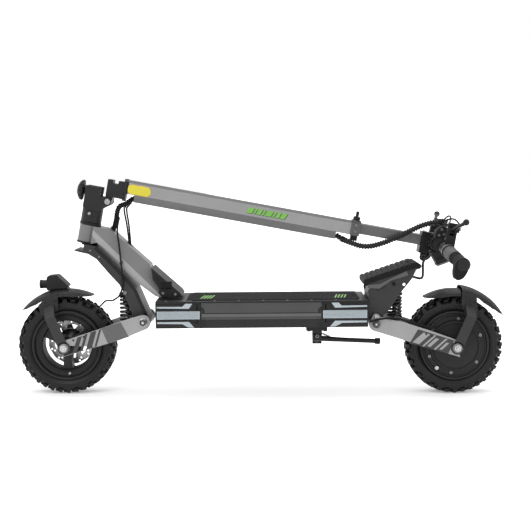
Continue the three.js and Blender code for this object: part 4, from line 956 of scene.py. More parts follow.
def deck_parts():
    def tray_pick(centre, normal):
        return 1 if centre.z < SKIN_BEND - 1 else 0

    keep("deck_tray", ("deck_side", "deck_low"), 1.0, tray_pick)
    keep("deck_lid", "graphite_dark", 0.8)
    keep("front_end_cap", "plastic", 1.2)
    keep("rear_end_cap", "plastic", 1.2)
    keep("battery_pack", "cell", 2.0)
    keep("motor_controller", "steel", 1.0)
    side_lights("front", -265.5, -160)
    side_lights("rear", 275.5, 167)
    steps = []
    for side in BOTH:
        for start, d in ((-149.7, 1), (156.7, -1)):
            outline = [(0, 184), (11, 184), (11, 205), (8, 208), (8, 232), (0, 238)]
            steps.append(skin_prism([(start + d * s, z) for s, z in outline], 0.7, side))
    piece("deck_side_steps", steps, "plastic", "frame", sharp=20)
    rails, seams, edges = [], [], []
    for side in BOTH:
        rails.append(skin_prism(rect(-149, 156, 212.6, 220.4), 1.2, side))
        seams.append(skin_prism(rect(-149, 156, 221, 222.6), 0.25, side))
        edges.append(skin_prism(rect(-149, 156, 207, 211.4), 0.5, side))
        edges.append(skin_prism(rect(-149, 156, 244.5, 248.4), 0.6, side))
    piece("deck_side_rails", rails, "rail", "frame", bevel=0.5)
    piece("deck_side_seams", seams, "black", "frame")
    piece("deck_side_edges", edges, "deck_side", "frame", bevel=0.3)
    mat_parts = [block(-190, 258, -90, 90, 249.3, 253.8, deck)]
    for i in range(25):
        y = -86.4 + i * 7.2
        x0 = -186 if abs(y) < 70 else -176
        mat_parts.append(prism(rect(x0, 254, 253.4, 255.6), y - 1.9, y + 1.9, deck))
    piece("deck_mat_ribbed", mat_parts, "mat", "frame", ["deck_mat"], bevel=0.4)
    marks = []
    for centre_x in (-143, 204):
        for k in range(4):
            x = centre_x - 12 + k * 8
            p = [deck(x, -62, 255.2), deck(x + 4, -62, 255.2), deck(x + 13, 6, 255.2),
                 deck(x + 9, 6, 255.2)]
            q = [v + Vector((0, 0, 0.9)) for v in p]
            marks.append(([*p, *q], [(3, 2, 1, 0), (4, 5, 6, 7), (0, 1, 5, 4), (1, 2, 6, 5), (2, 3, 7, 6),
                                     (3, 0, 4, 7)]))
    piece("deck_mat_marks", marks, "green", "frame")
    screws = []
    for side in BOTH:
        for i in range(9):
            screws.append(bolt(deck(-240 + i * 62, side * 96.5, 252.9), (0, 0, 1), 3, 1.4))
    piece("deck_lid_screws", screws, "bolt", "frame")
    under = []
    for i in range(6):
        for side in BOTH:
            under.append(bolt(deck(-130 + i * 48, side * 84, DECK_LOW), (0, 0, -1), 3.2, 1.2))
    piece("deck_underside_screws", under, "bolt", "frame")


# ---------------------------------------------- neck, cover and fork
def neck_parts():
    along = Vector((-267 + 429.9, 0, 267.5 - 427.4)).normalized()
    out = Vector((-along.z, 0, along.x))

    def neck_pick(centre, normal):
        behind_tube = (centre - HEAD_AT).dot(HEAD_U) > 27.2
        return 1 if abs(normal.y) > 0.6 and normal.dot(out) < 0.02 and behind_tube else 0

    keep("neck", ("neck", "neck_light"), 1.0, neck_pick)
    web = [(-357.2, 329.9), (-315, 288.9), (-274, 258), (-268, 256.6), (-262, 262), (-303, 298),
           (-348, 340)]
    piece("neck_lower_web", prism(web, -40, 40), "neck_light", "frame", bevel=0.6)
    keep("neck_cover", "plastic", 1.6)
    keep("charge_port_cap", "rubber", 0.8)
    # a clamp ring round the head tube's foot and one under the hinge
    rings = []
    for low, high, r in ((-75.4, -70.4, 28.6), (-26.6, -19, 28.2)):
        rings.append(lathe(collar(16, r, 1, 1, low, high), HEAD_AT, HEAD_W, 64))
    piece("headset_rings", rings, "black", "frame", sharp=30)
    cover = []
    for side in BOTH:
        for i in range(5):
            p0 = Vector((-276 + 4.2 * i, side * 57.2, 322 - 4.6 * i))
            p1 = Vector((-262 + 5.0 * i, side * 57.2, 279 - 2.2 * i))
            cover.append(tube([p0, p1], 0.9, 8))
    piece("neck_cover_ribs", cover, "plastic", "frame")
    screws = side_bolts(((-253, 268), (-221, 265)), 57, 3.4, 1.6)
    piece("neck_cover_screws", screws, "bolt", "frame")
    hinge = tube([Vector((-257, -58.6, 297.4)), Vector((-229, -58.6, 297.4))], 1.6, 12)
    piece("charge_port_hinge", hinge, "plastic", "frame")
    grommet = [(5.4, 0), (9, 0), (11.6, 1.4), (11.6, 4), (9, 6), (7.4, 9), (5.4, 9), (5.4, 0)]
    at = head(60.0, -1.5, -44.0)
    piece("hose_grommet", lathe(grommet, at - Vector((0, 0, 6)), (-0.16, 0, 1), 32), "rubber", "frame")


def strip(points, width):
    """The outline of a band of one width that lies to the left of a line of (x, z) points."""
    inner = []
    for i, (x, z) in enumerate(points):
        ax, az = points[max(0, i - 1)]
        bx, bz = points[min(len(points) - 1, i + 1)]
        length = math.hypot(bx - ax, bz - az)
        inner.append((x + (bz - az) / length * width, z - (bx - ax) / length * width))
    return points + inner[::-1]


def fork_parts():
    # faces turned to the rear get black paint as painted shade; the rest stay graphite
    def fork_rear_shade_pick(centre, normal):
        return 1 if normal.x > 0.3 and abs(normal.y) < 0.3 else 0

    keep("fork", ("graphite", "black"), 1.6, fork_rear_shade_pick)
    # a thin black strip along the fork's upper edge: a painted shadow of the gap under the neck
    edge = [(-425.7, 388.2), (-396, 359.5), (-357, 318), (-324, 280.5), (-314, 258), (-303, 232),
            (-293, 208)]
    gap_shadow_strips = [prism(strip(edge, 8.5), flip * 49.6, flip * 50.6) for flip in BOTH]
    piece("fork_edge_painted_shadow", gap_shadow_strips, "black", "steerer", bevel=0.3)
    bolts = side_bolts(((FRONT_SHOCK_X, SHOCK_TOP),), 50, 4.6, 3)
    bolts += side_bolts(((-441, 378), (-418, 362)), 50, 2.6, 1.4)
    piece("fork_bolts", bolts, "bolt", "steerer")


# ---------------------------------------------- folding hinge
KNOB_U, KNOB_W = -21.5, 60


def hinge_parts():
    keep("hinge_base", "graphite_dark", 1.2)
    keep("stem_hinge_block", "graphite_dark", 1.2)
    keep("fold_pin", "steel", 0.6)
    spots = side_bolts(((-4, 4),), 30.6, 3.6, 1.6, head)
    spots += side_bolts(((37, 42.5),), 34, 4.4, 1.6, head)
    piece("hinge_bolts", spots, "steel", "steerer")
    # the lock knob: a convex face with deep flutes round its edge
    rows = [(0, 0), (5.4, 0), (5.4, 5), (8.6, 5), (8.6, 8), (11, 9), (20, 9.4), (25.5, 10.4), (27.2, 13),
            (25.4, 18),
            (19, 23.2), (11, 26.4), (0, 27.6)]
    points, faces = lathe(rows, (0, 0, 0), (0, 0, 1), 96)
    shaped = []
    for p in points:
        r, a = math.hypot(p.x, p.y), math.atan2(p.y, p.x)
        if r > 16:
            cut = 1 - 0.10 * max(0.0, math.cos(12 * a)) * (r - 16) / 10
            p = Vector((p.x * cut, p.y * cut, p.z))
        shaped.append(p)
    turn = Matrix((
        (-HEAD_U.x, 0, HEAD_W.x), (0, 1, 0), (-HEAD_U.z, 0, HEAD_W.z),
    ))
    basis = Matrix(((0, 0, 1), (0, 1, 0), (1, 0, 0)))
    at = head(KNOB_U, 0, KNOB_W)
    whole = [at + turn @ (basis @ p) for p in shaped]
    piece("lock_knob_fluted", (whole, faces), "plastic", "lock_knob", ["lock_knob"], sharp=35)
    washer = lathe(band(6, 10.5, 0, 1.6), head(-24.1, 0, KNOB_W), -HEAD_U, 32)
    piece("lock_knob_washer", washer, "steel", "lock_knob")


# ---------------------------------------------- stem
CLAMP_START = 855


def stem_parts():
    # faces turned down get the darker copy of the stem paint as painted shade; faces turned up get the dark
    # edge colour
    def stem_pick(centre, normal):
        up = normal.dot(HEAD_W)
        if up > 0.35:
            return 2
        return 1 if up < -0.35 else 0

    keep("stem_tube", ("stem", "stem_underside_shade", "stem_top"), 0.8, stem_pick)

    def inner_pick(centre, normal):
        return 1 if (centre - HEAD_AT).dot(HEAD_U) > CLAMP_START or normal.dot(HEAD_U) < -0.7 else 0

    keep("inner_stem", ("tube", "black"), 0.8, inner_pick)

    def clamp_pick(centre, normal):
        return 1 if abs((centre - HEAD_AT).dot(HEAD_W) - 87) > 18 else 0

    keep("height_clamp", ("rest_plate", "black"), 1.0, clamp_pick)
    keep("clamp_lever", "black", 1.0)
    keep("handlebar", "black", 0.0)
    stop = prism(rect(80.2, 83.6, 70.5, 103), -24.6, 24.6, head)
    piece("stem_collar", stop, "black", "stem", bevel=0.6)
    pills, backs = [], []
    for flip in BOTH:
        for radius, depth, bucket in ((12.0, 24.6, pills), (13.2, 23.8, backs)):
            half = 30.6 - 12
            outline = arc(112.6 + half, 84.8, radius, -90, 90, 12) + arc(112.6 - half, 84.8, radius, 90,
                    270, 12)
            bucket.append(prism(outline, flip * 22.7, flip * depth, head))
    piece("stem_reflectors", pills, "yellow", "stem", bevel=0.6)
    piece("stem_reflector_frames", backs, "amber", "stem", bevel=0.4)
    # a generic slanted pattern on each side
    green, dark = [], []
    for flip in BOTH:
        at_u = 396
        for width in (14, 5, 11, 5, 16, 5, 9, 12):
            low, high = 79, 94
            shift = (high - low) * 0.45
            outline = [(at_u, low), (at_u + width, low), (at_u + width + shift, high), (at_u + shift, high)]
            green.append(prism(outline, flip * 22.8, flip * 23.35, head))
            shade = [(u + 1.4, w - 1.2) for u, w in outline]
            dark.append(prism(shade, flip * 22.8, flip * 23.2, head))
            at_u += width + 3.4
    piece("stem_pattern", green, "green", "stem", slot="stem_grey")
    piece("stem_pattern_shadow", dark, "graphite", "stem")
    screws = side_bolts(((684, 80), (684, 96)), 26, 3.6, 2.2, head)
    piece("height_clamp_screws", screws, "bolt", "stem")
    marks = [block(702 + 16 * i, 703 + 16 * i, -8, 8, 104.2, 104.45, head) for i in range(9)]
    piece("height_marks", marks, "silver", "handlebar", slot="stem_grey")


# ---------------------------------------------- handlebar
GRIP_START = Vector((910, 165, 79))
GRIP_END = Vector((927, 300, 60))


def on_grip(side, t):
    p = GRIP_START.lerp(GRIP_END, t)
    return head(p.x, p.y * side, p.z)


def grips():
    for name, side in (("left", -1), ("right", 1)):
        start, end = on_grip(side, 0.02), on_grip(side, 1.012)
        axis = (end - start).normalized()
        length = (end - start).length
        rows = [(11.2, 0), (17.4, 0), (18.2, 1.2), (18.2, 6), (17.2, 7.2)]
        h = 8.0
        while h < length * 0.66:
            rows += [(15.6, h), (16.6, h + 0.8), (16.6, h + 2.6), (15.6, h + 3.4)]
            h += 4.2
        rows += [(16.0, length * 0.70), (16.4, length * 0.9), (17.0, length - 6), (17.8, length - 5),
                 (17.8, length - 1.5),
                 (16.8, length), (11.2, length), (11.2, 0)]
        body = lathe(rows, start, axis, 40)
        piece(f"grip_{name}_sleeve", body, "rubber", "handlebar", [f"grip_{name}"], sharp=40)
        # a lighter grey sleeve over the grip's inner part: a painted silver-grey sheen
        sheen_rows = [(16.2, 9), (17.3, 10), (17.3, length * 0.44), (16.2, length * 0.46), (16.2, 9)]
        piece(f"grip_{name}_painted_sheen_band", lathe(sheen_rows, start, axis, 40), "grip_sheen", "handlebar",
              sharp=30)
        outer = GRIP_END
        wing = [(outer.x - 18, 64), (outer.x - 4, 70), (outer.x + 10, 68), (outer.x + 15, 57),
                (outer.x + 13, 43),
                (outer.x + 7, 30), (outer.x - 2, 23), (outer.x - 12, 23.5), (outer.x - 17,
                        34), (outer.x - 19, 50)]
        plump = smooth_path([Vector((u, 0, w)) for u, w in wing], 3.2, closed=True)
        outline = [(p.x, p.z) for p in plump]
        palm = prism(outline, side * 266, side * 302, head)
        piece(f"grip_{name}_palm_rest", palm, "rubber", "handlebar", bevel=4.0, sharp=50)
        cap_at = on_grip(side, 1.012)
        cap = lathe([(0, 0), (15.4, 0), (15.4, 1.4), (13.6, 3), (6, 3.6), (0, 3.8)], cap_at, axis, 36)
        piece(f"grip_{name}_end_cap", cap, "plastic", "handlebar")
        clamp = lathe(collar(11.2, 18, 0.8, 1, 0, 10), start - axis * 10.5, axis, 40)
        piece(f"grip_{name}_clamp_ring", clamp, "tube", "handlebar", sharp=30)


def bar_sleeves():
    """The black rings beside the bar clamp, the bar's flutes, and the clamp's four screws."""
    at = head(892, 0, 90)
    bands = []
    for flip in BOTH:
        span = sorted((flip * 24.4, flip * 29))
        bands.append(lathe(collar(11, 22.5, 1, 1, *span), at, segments=48))
    piece("bar_clamp_rings", bands, "black", "handlebar", sharp=30)
    fins = []
    for i in range(10):
        a = 2 * math.pi * i / 10
        c, s = math.cos(a), math.sin(a)
        for flip in BOTH:
            fins.append(tube([head(892 + 15.4 * c, flip * 29, 90 + 15.4 * s),
                              head(892 + 15.4 * c, flip * 36, 90 + 15.4 * s)], 1.5, 8))
    piece("bar_middle_flutes", fins, "tube", "handlebar")
    screws = [bolt(head(866, flip * 15, 113), HEAD_W, 3.6, 2.6) for flip in BOTH]
    screws += [bolt(head(914.4, flip * 15, 97), HEAD_U, 3.4, 2.2) for flip in BOTH]
    piece("bar_clamp_screws", screws, "steel", "handlebar")


def brake_levers():
    for name, side in (("left", -1), ("right", 1)):
        keep(f"brake_perch_{name}", "black", 0.8)
        spine = [head(u, y * side, w) for u, y, w in (
            (912, 142, 128), (913, 150, 132), (914, 160, 136), (918, 190, 146), (922, 214, 153), (926, 235,
                    160),
        )]
        path = smooth_path(spine, 3)
        n = len(path) - 1
        blade = tube(path, lambda i: 5.2 - 1.3 * math.sin(math.pi * min(1.0, i / n * 1.15)) * 0.9, 14)
        ball = lathe([(8.2 * math.sin(math.pi * k / 12),
                       -8.2 * math.cos(math.pi * k / 12)) for k in range(13)],
                     spine[-1], (0, 1, 0), 28)
        boss = lathe(collar(2.8, 7.2, 0.2, 0.6, -5.4, 5.4), head(912, 142 * side, 128), HEAD_U, 32)
        piece(f"brake_lever_{name}_blade", merged(blade, ball, boss), "black", f"brake_lever_{name}",
              [f"brake_lever_{name}"], sharp=50)
        pivot = bolt(head(903.6, 142 * side, 128), -HEAD_U, 4, 1.8)
        barrel = tube([head(925, 124 * side, 139), head(936, 118 * side, 139)], 4.2, 16)
        nut = lathe(band(2, 5.2, 0, 5), head(932, 121 * side, 139), HEAD_U, 6)
        piece(f"brake_perch_{name}_fittings", merged(pivot, barrel, nut), "steel", "handlebar")
        knurl = [bolt(head(899.4, 142 * side, 108), -HEAD_U, 3.2, 1.8),
                 bolt(head(899.4, 142 * side, 96), -HEAD_U, 3.2, 1.8)]
        piece(f"brake_perch_{name}_screws", knurl, "bolt", "handlebar")


def controls():
    keep("display_unit", "plastic", 1.6)
    keep("throttle_pod", "plastic", 1.0)
    keep("throttle_lever", "plastic", 1.0)
    keep("horn_button", "red", 0.6)
    near, far = Vector((898, 0, 37.5)), Vector((927.7, 0, 55.8))
    run = (far - near).normalized()
    out = Vector((run.z, 0, -run.x))

    def on_face(s, y, lift):
        p = near + run * s + out * lift
        return head(p.x, y, p.z)

    width = (far - near).length
    rim = prism(rect(-1.6, width + 1.6, -1.5, 2.6), -113.4, -66.6,
                on_face)
    piece("display_rim", rim, "bolt", "handlebar", slot="tube_grey", bevel=0.8)
    glass = prism(rect(3, width - 3, 2.2, 3.4), -109, -71, on_face)
    piece("display_glass", glass, "screen", "handlebar", bevel=0.4)
    buttons = [
        lathe([(0, 0), (3.8, 0), (3.8, 1.6), (3, 2.4), (0, 2.4)], head(896 + 7.5 * i, -112, 54 + 4.6 * i),
              (0, -1, 0), 24)
        for i in range(3)
    ]
    piece("display_buttons", buttons, "rubber", "handlebar")
    fins = [tube([head(930.8, 100 + 2.8 * i, 52), head(930.8, 100 + 2.8 * i, 48)], 0.9,
                 8) for i in range(4)]
    piece("throttle_grip_lines", fins, "rubber", "throttle_lever")


def switch_pod():
    """The switch housing that sits on the bar inside the left brake perch."""
    outline = [(880, 101), (908, 99), (916, 116), (913, 134), (893, 139), (880, 124)]
    piece("switch_pod_body", prism(outline, -98, -66, head), "plastic", "handlebar", bevel=2.0)
    keys = [
        lathe([(0, 0), (3.6, 0), (3.6, 1.8), (2.8, 2.6), (0, 2.6)], head(u, -98, w), (0, -1, 0), 24)
        for u, w in ((890, 112), (901, 117), (894, 128))
    ]
    piece("switch_pod_keys", keys, "tube", "handlebar")


def control_wires():
    """The bunched wires between the controls and the mouth of the corrugated hose."""
    mouth = (896, -56, 146)
    ends = (
        (925, -118, 139), (934, 116, 139), (930, -96, 80), (920, 104, 93), (906, -70, 108), (918, 60, 110),
    )
    names = ("brake_left", "brake_right", "display", "throttle", "lamp", "horn")
    rises = (158, 162, 132, 150, 128, 140)
    for name, (u, y, w), rise in zip(names, ends, rises):
        middle = ((mouth[0] + u) / 2 + 16, (mouth[1] + y) / 2, rise)
        if name.startswith("brake"):
            path = [head(*mouth), head(914, mouth[1] + (y - mouth[1]) * 0.2, rise), head(*middle),
                    head(u + 12, y, w + 4), head(u + 6, y, w)]
        else:
            path = [head(*mouth), head(908, mouth[1] + (y - mouth[1]) * 0.15, rise - 4), head(*middle),
                    head(u, y, w + 8), head(u, y, w)]
        piece(f"wire_{name}", tube(smooth_path(path, 5), 2.2, 10), "rubber", "handlebar")
    wrap = lathe(collar(4, 8.6, 0.4, 1, 0, 8), head(893, -55, 145.4), head(1, -0.7, 0.4) - head(0, 0, 0),
                 24)
    piece("hose_end_boot", wrap, "rubber", "handlebar")


def corrugated(path, big, small):
    """A hose with round ribs: the path is stepped so that ribs and valleys alternate."""
    levels = (small, (big + small) / 2 + 0.3, big, (big + small) / 2 + 0.3)
    return tube(path, lambda i: levels[i % 4], 16)


def hoses():
    stem_hose = [
        (104, 0, 63), (96, -0.5, 58.5), (89, -1, 51), (83, -3, 44.5), (75, -6, 40.5), (67.5, -8, 34), (64.5,
                -9, 20),
        (65, -7, 1), (63.5, -3, -17), (60.7, 0, -34), (60, 0, -46),
    ]
    route = smooth_path([head(*p) for p in stem_hose], 1.5)
    split = min(range(len(route)), key=lambda i: (route[i] - head(64.5, -9, 24)).length)
    split -= split % 4
    upper = piece("stem_hose_upper", corrugated(route[:split + 1], 7.2, 5.5), "rubber",
                  replaces=["stem_hose"], sharp=70)
    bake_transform(upper)
    lower = piece("stem_hose_lower", corrugated(route[split:], 7.2, 5.5), "rubber", sharp=70)
    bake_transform(lower)
    bar_hose = [
        (638, 0, 62), (656, -6, 55), (680, -20, 50), (705, -27, 47), (730, -30, 51), (755, -30, 62), (779,
                -29, 76),
        (802, -29, 92), (826, -30, 110), (850, -34, 127), (873, -42, 139), (895, -56, 146),
    ]
    route = smooth_path([head(*p) for p in bar_hose], 1.75)
    hose = piece("bar_hose_corrugated", corrugated(route, 8.2, 5.2), "guard", replaces=["bar_hose"],
                 slot="rubber",
                 sharp=70)
    head(*bar_hose[1]) * MM
    head(*bar_hose[-1]) * MM
    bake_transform(hose)
    clip = band(6.4, 8, 0, 6)
    piece("bar_hose_clip", lathe(clip, head(656, -6, 55), head(24, -18, -8) - head(0, 0, 0), 24), "black",
          "stem")


def cables():
    for k, (dx, dy) in enumerate(((0, 0), (6, 4))):
        twin = [
            (-346 + dx, 11 + dy, 500), (-355 + dx, 12 + dy, 490), (-359 + dx, 12 + dy,
                    480), (-352 + dx * 0.8, 10 + dy, 440),
            (-347 + dx * 0.6, 8 + dy, 400), (-345 + dx * 0.5, 7 + dy, 378),
        ]
        route = smooth_path([flat(*p) for p in twin], 4)
        half = min(range(len(route)), key=lambda i: abs(route[i].z - 462))
        names = {"replaces": ["sensor_cables"]} if k == 0 else {}
        top = piece(f"sensor_cable_{k + 1}_upper", tube(route[:half + 1], 2.3, 12), "rubber", **names)
        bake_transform(top)
        low = piece(f"sensor_cable_{k + 1}_lower", tube(route[half:], 2.3, 12), "rubber")
        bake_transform(low)
    upper = [
        (-368, -22, 462), (-371, -36, 440), (-370, -46, 418), (-366, -50, 392), (-361, -53, 346), (-357,
                -54.5, 300),
        (-357, -55, 285),
    ]
    lower = [
        (-357, -55, 285), (-366, -52, 262), (-380, -38, 250), (-392, -10, 243), (-402, 20, 240), (-415, 42,
                236),
        (-430, 50, 222), (-448, 54, 204),
    ]
    line = tube(smooth_path([flat(*p) for p in upper], 5), 2.3, 12)
    piece("brake_hose_upper", line, "rubber", "steerer", ["brake_hose"])
    line = tube(smooth_path([flat(*p) for p in lower], 4), 2.3, 12)
    tail = piece("brake_hose_lower", line, "rubber")
    flat(*lower[0]) * MM
    flat(*lower[-2]) * MM
    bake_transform(tail)
    clip = band(2.2, 3.8, -4, 4)
    clips = [lathe(clip, flat(-361, -53, 346), (-0.05, 0, 1), 16),
             lathe(clip, flat(-357, -54.5, 300), (0, 0, 1), 16)]
    piece("brake_hose_clips", clips, "black", "steerer")
    motor = [
        (281.5, -86, 197), (300, -86, 202.5), (320, -84, 205.5), (337, -82, 206.5), (352, -79, 205), (372,
                -74, 198.5),
        (400, -73, 190), (428, -72.5, 183), (446, -69, 178), (458, -62, 170), (468, -58, 158), (474, -56,
                146),
    ]
    route = smooth_path([flat(*p) for p in motor], 5)
    lead = piece("motor_cable_line", tube(route, 2.6, 12), "rubber", replaces=["motor_cable"])
    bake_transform(lead)


# ---------------------------------------------- rear bracket, footrest, stand and hook
PAD_HALF = 68.0
PAD_SLOPE = math.atan2(349 - 305.5, 394 - 266.7)


def on_pad(along, y, below):
    """A point on the footrest: along its slope, across, and below its top."""
    x = 266.7 + along * math.cos(PAD_SLOPE) + below * math.sin(PAD_SLOPE)
    z = 305.5 + along * math.sin(PAD_SLOPE) - below * math.cos(PAD_SLOPE)
    return Vector((x, y, z))


def rear_parts():
    keep("rear_bracket", "graphite", 1.4)
    side = [(275.7, 290.1), (306.5, 292.7), (375.9, 326.6), (381.1, 315), (337.4, 302.2), (306.5, 280.3),
            (275.7, 282.1)]
    plates, slot_shadows, bands = [], [], []
    for flip in BOTH:
        plates.append(prism(side, flip * 66.2, flip * 68.4))
        # black plates where the side slots are: painted shade for the slots' insides
        slot_shadows.append(prism([(300, 275), (318, 283), (323, 288.5), (319, 290.5), (306, 284), (297.5, 278)],
                           flip * 66, flip * 67.6))
        far = flip > 0
        for cx, cz, r in ((343, 279.2 if far else 292.7, 4.6), (370, 280.0 if far else 291.4, 4.0)):
            rows = [(r, 0), (r + 2.2, 0), (r + 2.2, 0.7), (r, 1.1), (r, 0)]
            bands.append(lathe(rows, (cx, flip * 66.3, cz), (0, flip, 0), 28))
    piece("footrest_side_plates", plates, "rest_plate", "frame", bevel=0.7)
    piece("footrest_side_slot_shadows", slot_shadows, "black", "frame")
    piece("bracket_hole_rims", bands, "graphite_dark", "frame")
    # the rubber pad: small notches across its crest, and a gap in its rear end for the hook
    crest = []
    for i in range(9):
        a = 9 + i * 14.2
        crest += [(a, 0.6), (a + 0.4, 2.8), (a + 3.2, 2.8), (a + 3.6, 0.6)]
    start = [(-5, 13), (-3, 4), (2, 0.8)]
    foot = [(8, 16), (5, 20), (-4, 17)]
    outline = [*start, *crest, (134, 0.8), (146, 6), (150.5, 12), (150.5, 17), (146, 21), (139.5, 21),
               (139.5, 16), *foot]
    parts = []
    for y0, y1 in ((-PAD_HALF, -7), (7, PAD_HALF)):
        parts.append(prism(outline, y0, y1, on_pad))
    bridge = [*start, *crest[:-4], (120, 0.8), (120, 16), *foot]
    parts.append(prism(bridge, -7, 7, on_pad))
    piece("footrest_pad_grooved", parts, "rubber", "frame", ["footrest_pad"], bevel=0.8)
    ribs = []
    for flip in BOTH:
        for i in range(8):
            s = 16 + i * 14.2
            ribs.append(tube([on_pad(s, flip * PAD_HALF, 6.5), on_pad(s + 4, flip * PAD_HALF, 13)], 0.9, 8))
    piece("footrest_pad_side_ribs", ribs, "rubber", "frame")


STAND_PIVOT = Vector((147, -66, 151))
STAND_SPLAY = math.radians(25.15)


def stand_parts():
    x, y, z = STAND_PIVOT
    leg = smooth_path([deck(x + 2, y, z - 0.2), deck(x + 24, y, z - 2), deck(x + 46, y, z - 3.6),
                       deck(x + 100, y, z - 6.6),
                       deck(x + 152, y, z - 9)], 4)
    n = len(leg) - 1
    bar = tube(leg, lambda i: 7.4 - 1.6 * min(1.0, i / n * 2.4), 20)
    foot_axis = (leg[-1] - leg[-4]).normalized()
    foot = lathe([(0, 0), (7.2, 0), (8.2, 1.4), (8.2, 11), (7.4, 13), (4, 14), (0, 14)],
                 leg[-1] - foot_axis * 2, foot_axis, 28)
    pin_axis = Vector((0, math.cos(STAND_SPLAY), -math.sin(STAND_SPLAY)))
    boss = lathe(collar(3.3, 10, 0.4, 0.6, -7.8, 7.8), deck(x, y, z), pin_axis, 36)
    piece("kickstand_bar", merged(bar, boss), "black", "kickstand", ["kickstand_leg"], sharp=45)
    piece("kickstand_foot", foot, "rubber", "kickstand")
    heads = [bolt(deck(x, y, z) + pin_axis * s * 14.6, pin_axis * s, 5, 2.4) for s in (-1, 1)]
    feet = [bolt(deck(x + dx, y + dy, 172), (0, 0, -1), 4, 2.6) for dx in (-21, 21) for dy in (-9, 14)]
    piece("kickstand_bolts", merged(*heads, *feet), "bolt", "frame")
    # the return spring between the bracket and the leg
    a, b = deck(x - 2, y + 11, 168), deck(x + 34, y + 7, z + 2)
    turns, path = 13, []
    along = (b - a).normalized()
    side = along.orthogonal().normalized()
    other = along.cross(side)
    count = turns * 12
    for i in range(count + 1):
        ang = 2 * math.pi * turns * i / count
        path.append(a.lerp(b, i / count) + (side * math.cos(ang) + other * math.sin(ang)) * 2.6)
    spring = piece("kickstand_spring", tube(path, 0.75, 8), "spring", slot="steel")
    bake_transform(spring)


HOOK_AT = (908.8, 75.3)


def latch_hook():
    eye = head(HOOK_AT[0], 0, HOOK_AT[1])
    points = [eye, flat(446, 0, 366), flat(433, 0, 352.5), flat(427.5, 0, 340), flat(427.5, 0, 320),
              flat(426.6, 0, 305.4),
              flat(421, 0, 300.6), flat(410, 0, 302.5), flat(400, 0, 305.5)]
    wire = tube(smooth_path(points, 2.5), 3.3, 16)
    finger = tube([flat(428 + 7.8 * math.cos(2 * math.pi * i / 40), 0,
                        357 + 7.8 * math.sin(2 * math.pi * i / 40))
                   for i in range(40)], 2.7, 14, closed=True)
    boss = lathe(band(2.6, 5.6, -4.2, 4.2), eye, (0, 1, 0), 28)
    tip = lathe([(3.3 * math.sin(math.pi * k / 8), -3.3 * math.cos(math.pi * k / 8)) for k in range(9)],
                flat(400, 0, 305.5), (0, 1, 0), 16)
    piece("latch_hook_wire", merged(wire, finger, boss, tip), "hook", "latch_hook", ["latch_hook"],
          sharp=60)


# ---------------------------------------------- the studio
FRONT_DARK = 0.30
CAMERA_AT = (-0.002, -3.05, 0.603)
CAMERA_DOWN, CAMERA_PAN = math.radians(5.0), math.radians(-0.25)
CAMERA_LENS = 79.0
FLOOR_Z = -0.0005
LAMPS = (
    ("key", (-1.4, -2.4, 2.6), (0, 0, 0.3), 1.6, 34),
    ("top", (0.3, 0.4, 3.2), (0, 0, 0.2), 2.0, 36),
    ("rim", (2.6, -1.4, 1.4), (0.3, 0, 0.3), 1.0, 10),
)


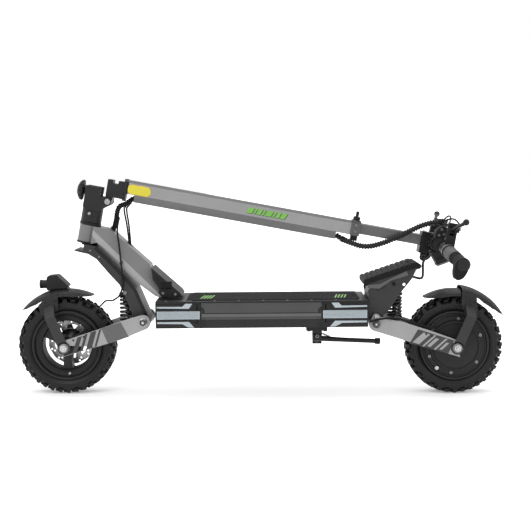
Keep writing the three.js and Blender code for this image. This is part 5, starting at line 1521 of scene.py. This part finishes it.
def studio():
    scene = bpy.context.scene
    world = bpy.data.worlds.new("studio")
    world.use_nodes = True
    tree = world.node_tree
    background = tree.nodes["Background"]
    # a white room behind and above the object that darkens towards the front
    direction = tree.nodes.new("ShaderNodeTexCoord").outputs["Generated"]
    split = tree.nodes.new("ShaderNodeSeparateXYZ")
    tree.links.new(direction, split.inputs[0])
    height = arithmetic(tree, "MULTIPLY_ADD", split.outputs["Z"], 0.8, split.outputs["Y"])
    half = arithmetic(tree, "MULTIPLY_ADD", height, 0.5, 0.5)
    tree.links.new(ramp(tree, half, [(0.05, FRONT_DARK), (0.40, 1.0)]), background.inputs["Color"])
    background.inputs["Strength"].default_value = 1.0
    scene.world = world
    mesh = bpy.data.meshes.new("floor")
    mesh.from_pydata([(x, y, FLOOR_Z) for x, y in ((-14, -6), (14, -6), (14, 20), (-14, 20))], [],
                     [(0, 1, 2, 3)])
    floor = bpy.data.objects.new("floor", mesh)
    scene.collection.objects.link(floor)
    paper = bpy.data.materials.new("paper")
    paper.use_nodes = True
    tree = paper.node_tree
    shader = tree.nodes["Principled BSDF"]
    shader.inputs["Base Color"].default_value = (0.93, 0.93, 0.93, 1)
    shader.inputs["Roughness"].default_value = 0.9
    shader.inputs["Specular IOR Level"].default_value = 0.05
    # the paper glows more the farther back it lies, so that it runs into the white room
    split = tree.nodes.new("ShaderNodeSeparateXYZ")
    tree.links.new(tree.nodes.new("ShaderNodeTexCoord").outputs["Object"], split.inputs[0])
    glow = tree.nodes.new("ShaderNodeMapRange")
    for socket, value in (("From Min", -0.6), ("From Max", 2.2), ("To Min", 0.10), ("To Max", 0.75)):
        glow.inputs[socket].default_value = value
    tree.links.new(split.outputs["Y"], glow.inputs["Value"])
    shader.inputs["Emission Color"].default_value = (1, 1, 1, 1)
    tree.links.new(glow.outputs["Result"], shader.inputs["Emission Strength"])
    mesh.materials.append(paper)
    for name, place, aim, size, power in LAMPS:
        data = bpy.data.lights.new(name, "AREA")
        data.size = size
        data.energy = power
        lamp = bpy.data.objects.new(name, data)
        lamp.location = place
        lamp.rotation_euler = (Vector(aim) - Vector(place)).to_track_quat("-Z", "Y").to_euler()
        scene.collection.objects.link(lamp)
    scene.view_settings.view_transform = "Standard"
    camera = bpy.data.objects.new("camera", bpy.data.cameras.new("camera"))
    camera.data.lens = CAMERA_LENS
    camera.data.sensor_width = 36
    camera.data.clip_end = 60
    camera.location = CAMERA_AT
    camera.rotation_euler = (math.radians(90) - CAMERA_DOWN, 0, CAMERA_PAN)
    scene.collection.objects.link(camera)
    scene.camera = camera


# ---------------------------------------------- build
tyre("front", FRONT_X)
tyre("rear", REAR_X)
front_rim()
brake_disc()
hub_motor()
axle("front", FRONT_X)
axle("rear", REAR_X)
front_arm()
rear_arm()
pivot_bolts()
shock("front", FRONT_SHOCK_X, 5.6, 3.7)
shock("rear", REAR_SHOCK_X, 6.5, 3.3)
mudguard(
    "front", FRONT_X, [((149.5, 142, 6), (149.5, 106, 0)), ((146.5, 107, 0), (146.5, 62, 9))],
    [(-70, 108), (-40, 138), (-20, 143), (-18, 96), (-27, 88), (-64, 82)], [(-44, 106), (-35, 81), (-2, 4)],
    [((-52, 122), (-48, 90)), ((-34, 136), (-31, 94))], [(-56, 97), (-26, 120)],
)
mudguard(
    "rear", REAR_X, [((151.6, 30.4, 7), (157, 83.5, 0)), ((147.5, 84.5, 0), (147.5, 123, 8))],
    [(17, 143), (54, 132), (58, 74), (24, 87), (14, 110)], [(38, 106), (35.7, 82), (2, 4)],
    [((26, 134), (30, 90)), ((36, 130), (40, 86))], [(48, 96), (49, 116)],
)
headlight()
caliper()
deck_parts()
neck_parts()
fork_parts()
hinge_parts()
stem_parts()
grips()
bar_sleeves()
brake_levers()
controls()
switch_pod()
control_wires()
hoses()
cables()
rear_parts()
stand_parts()
latch_hook()
studio()
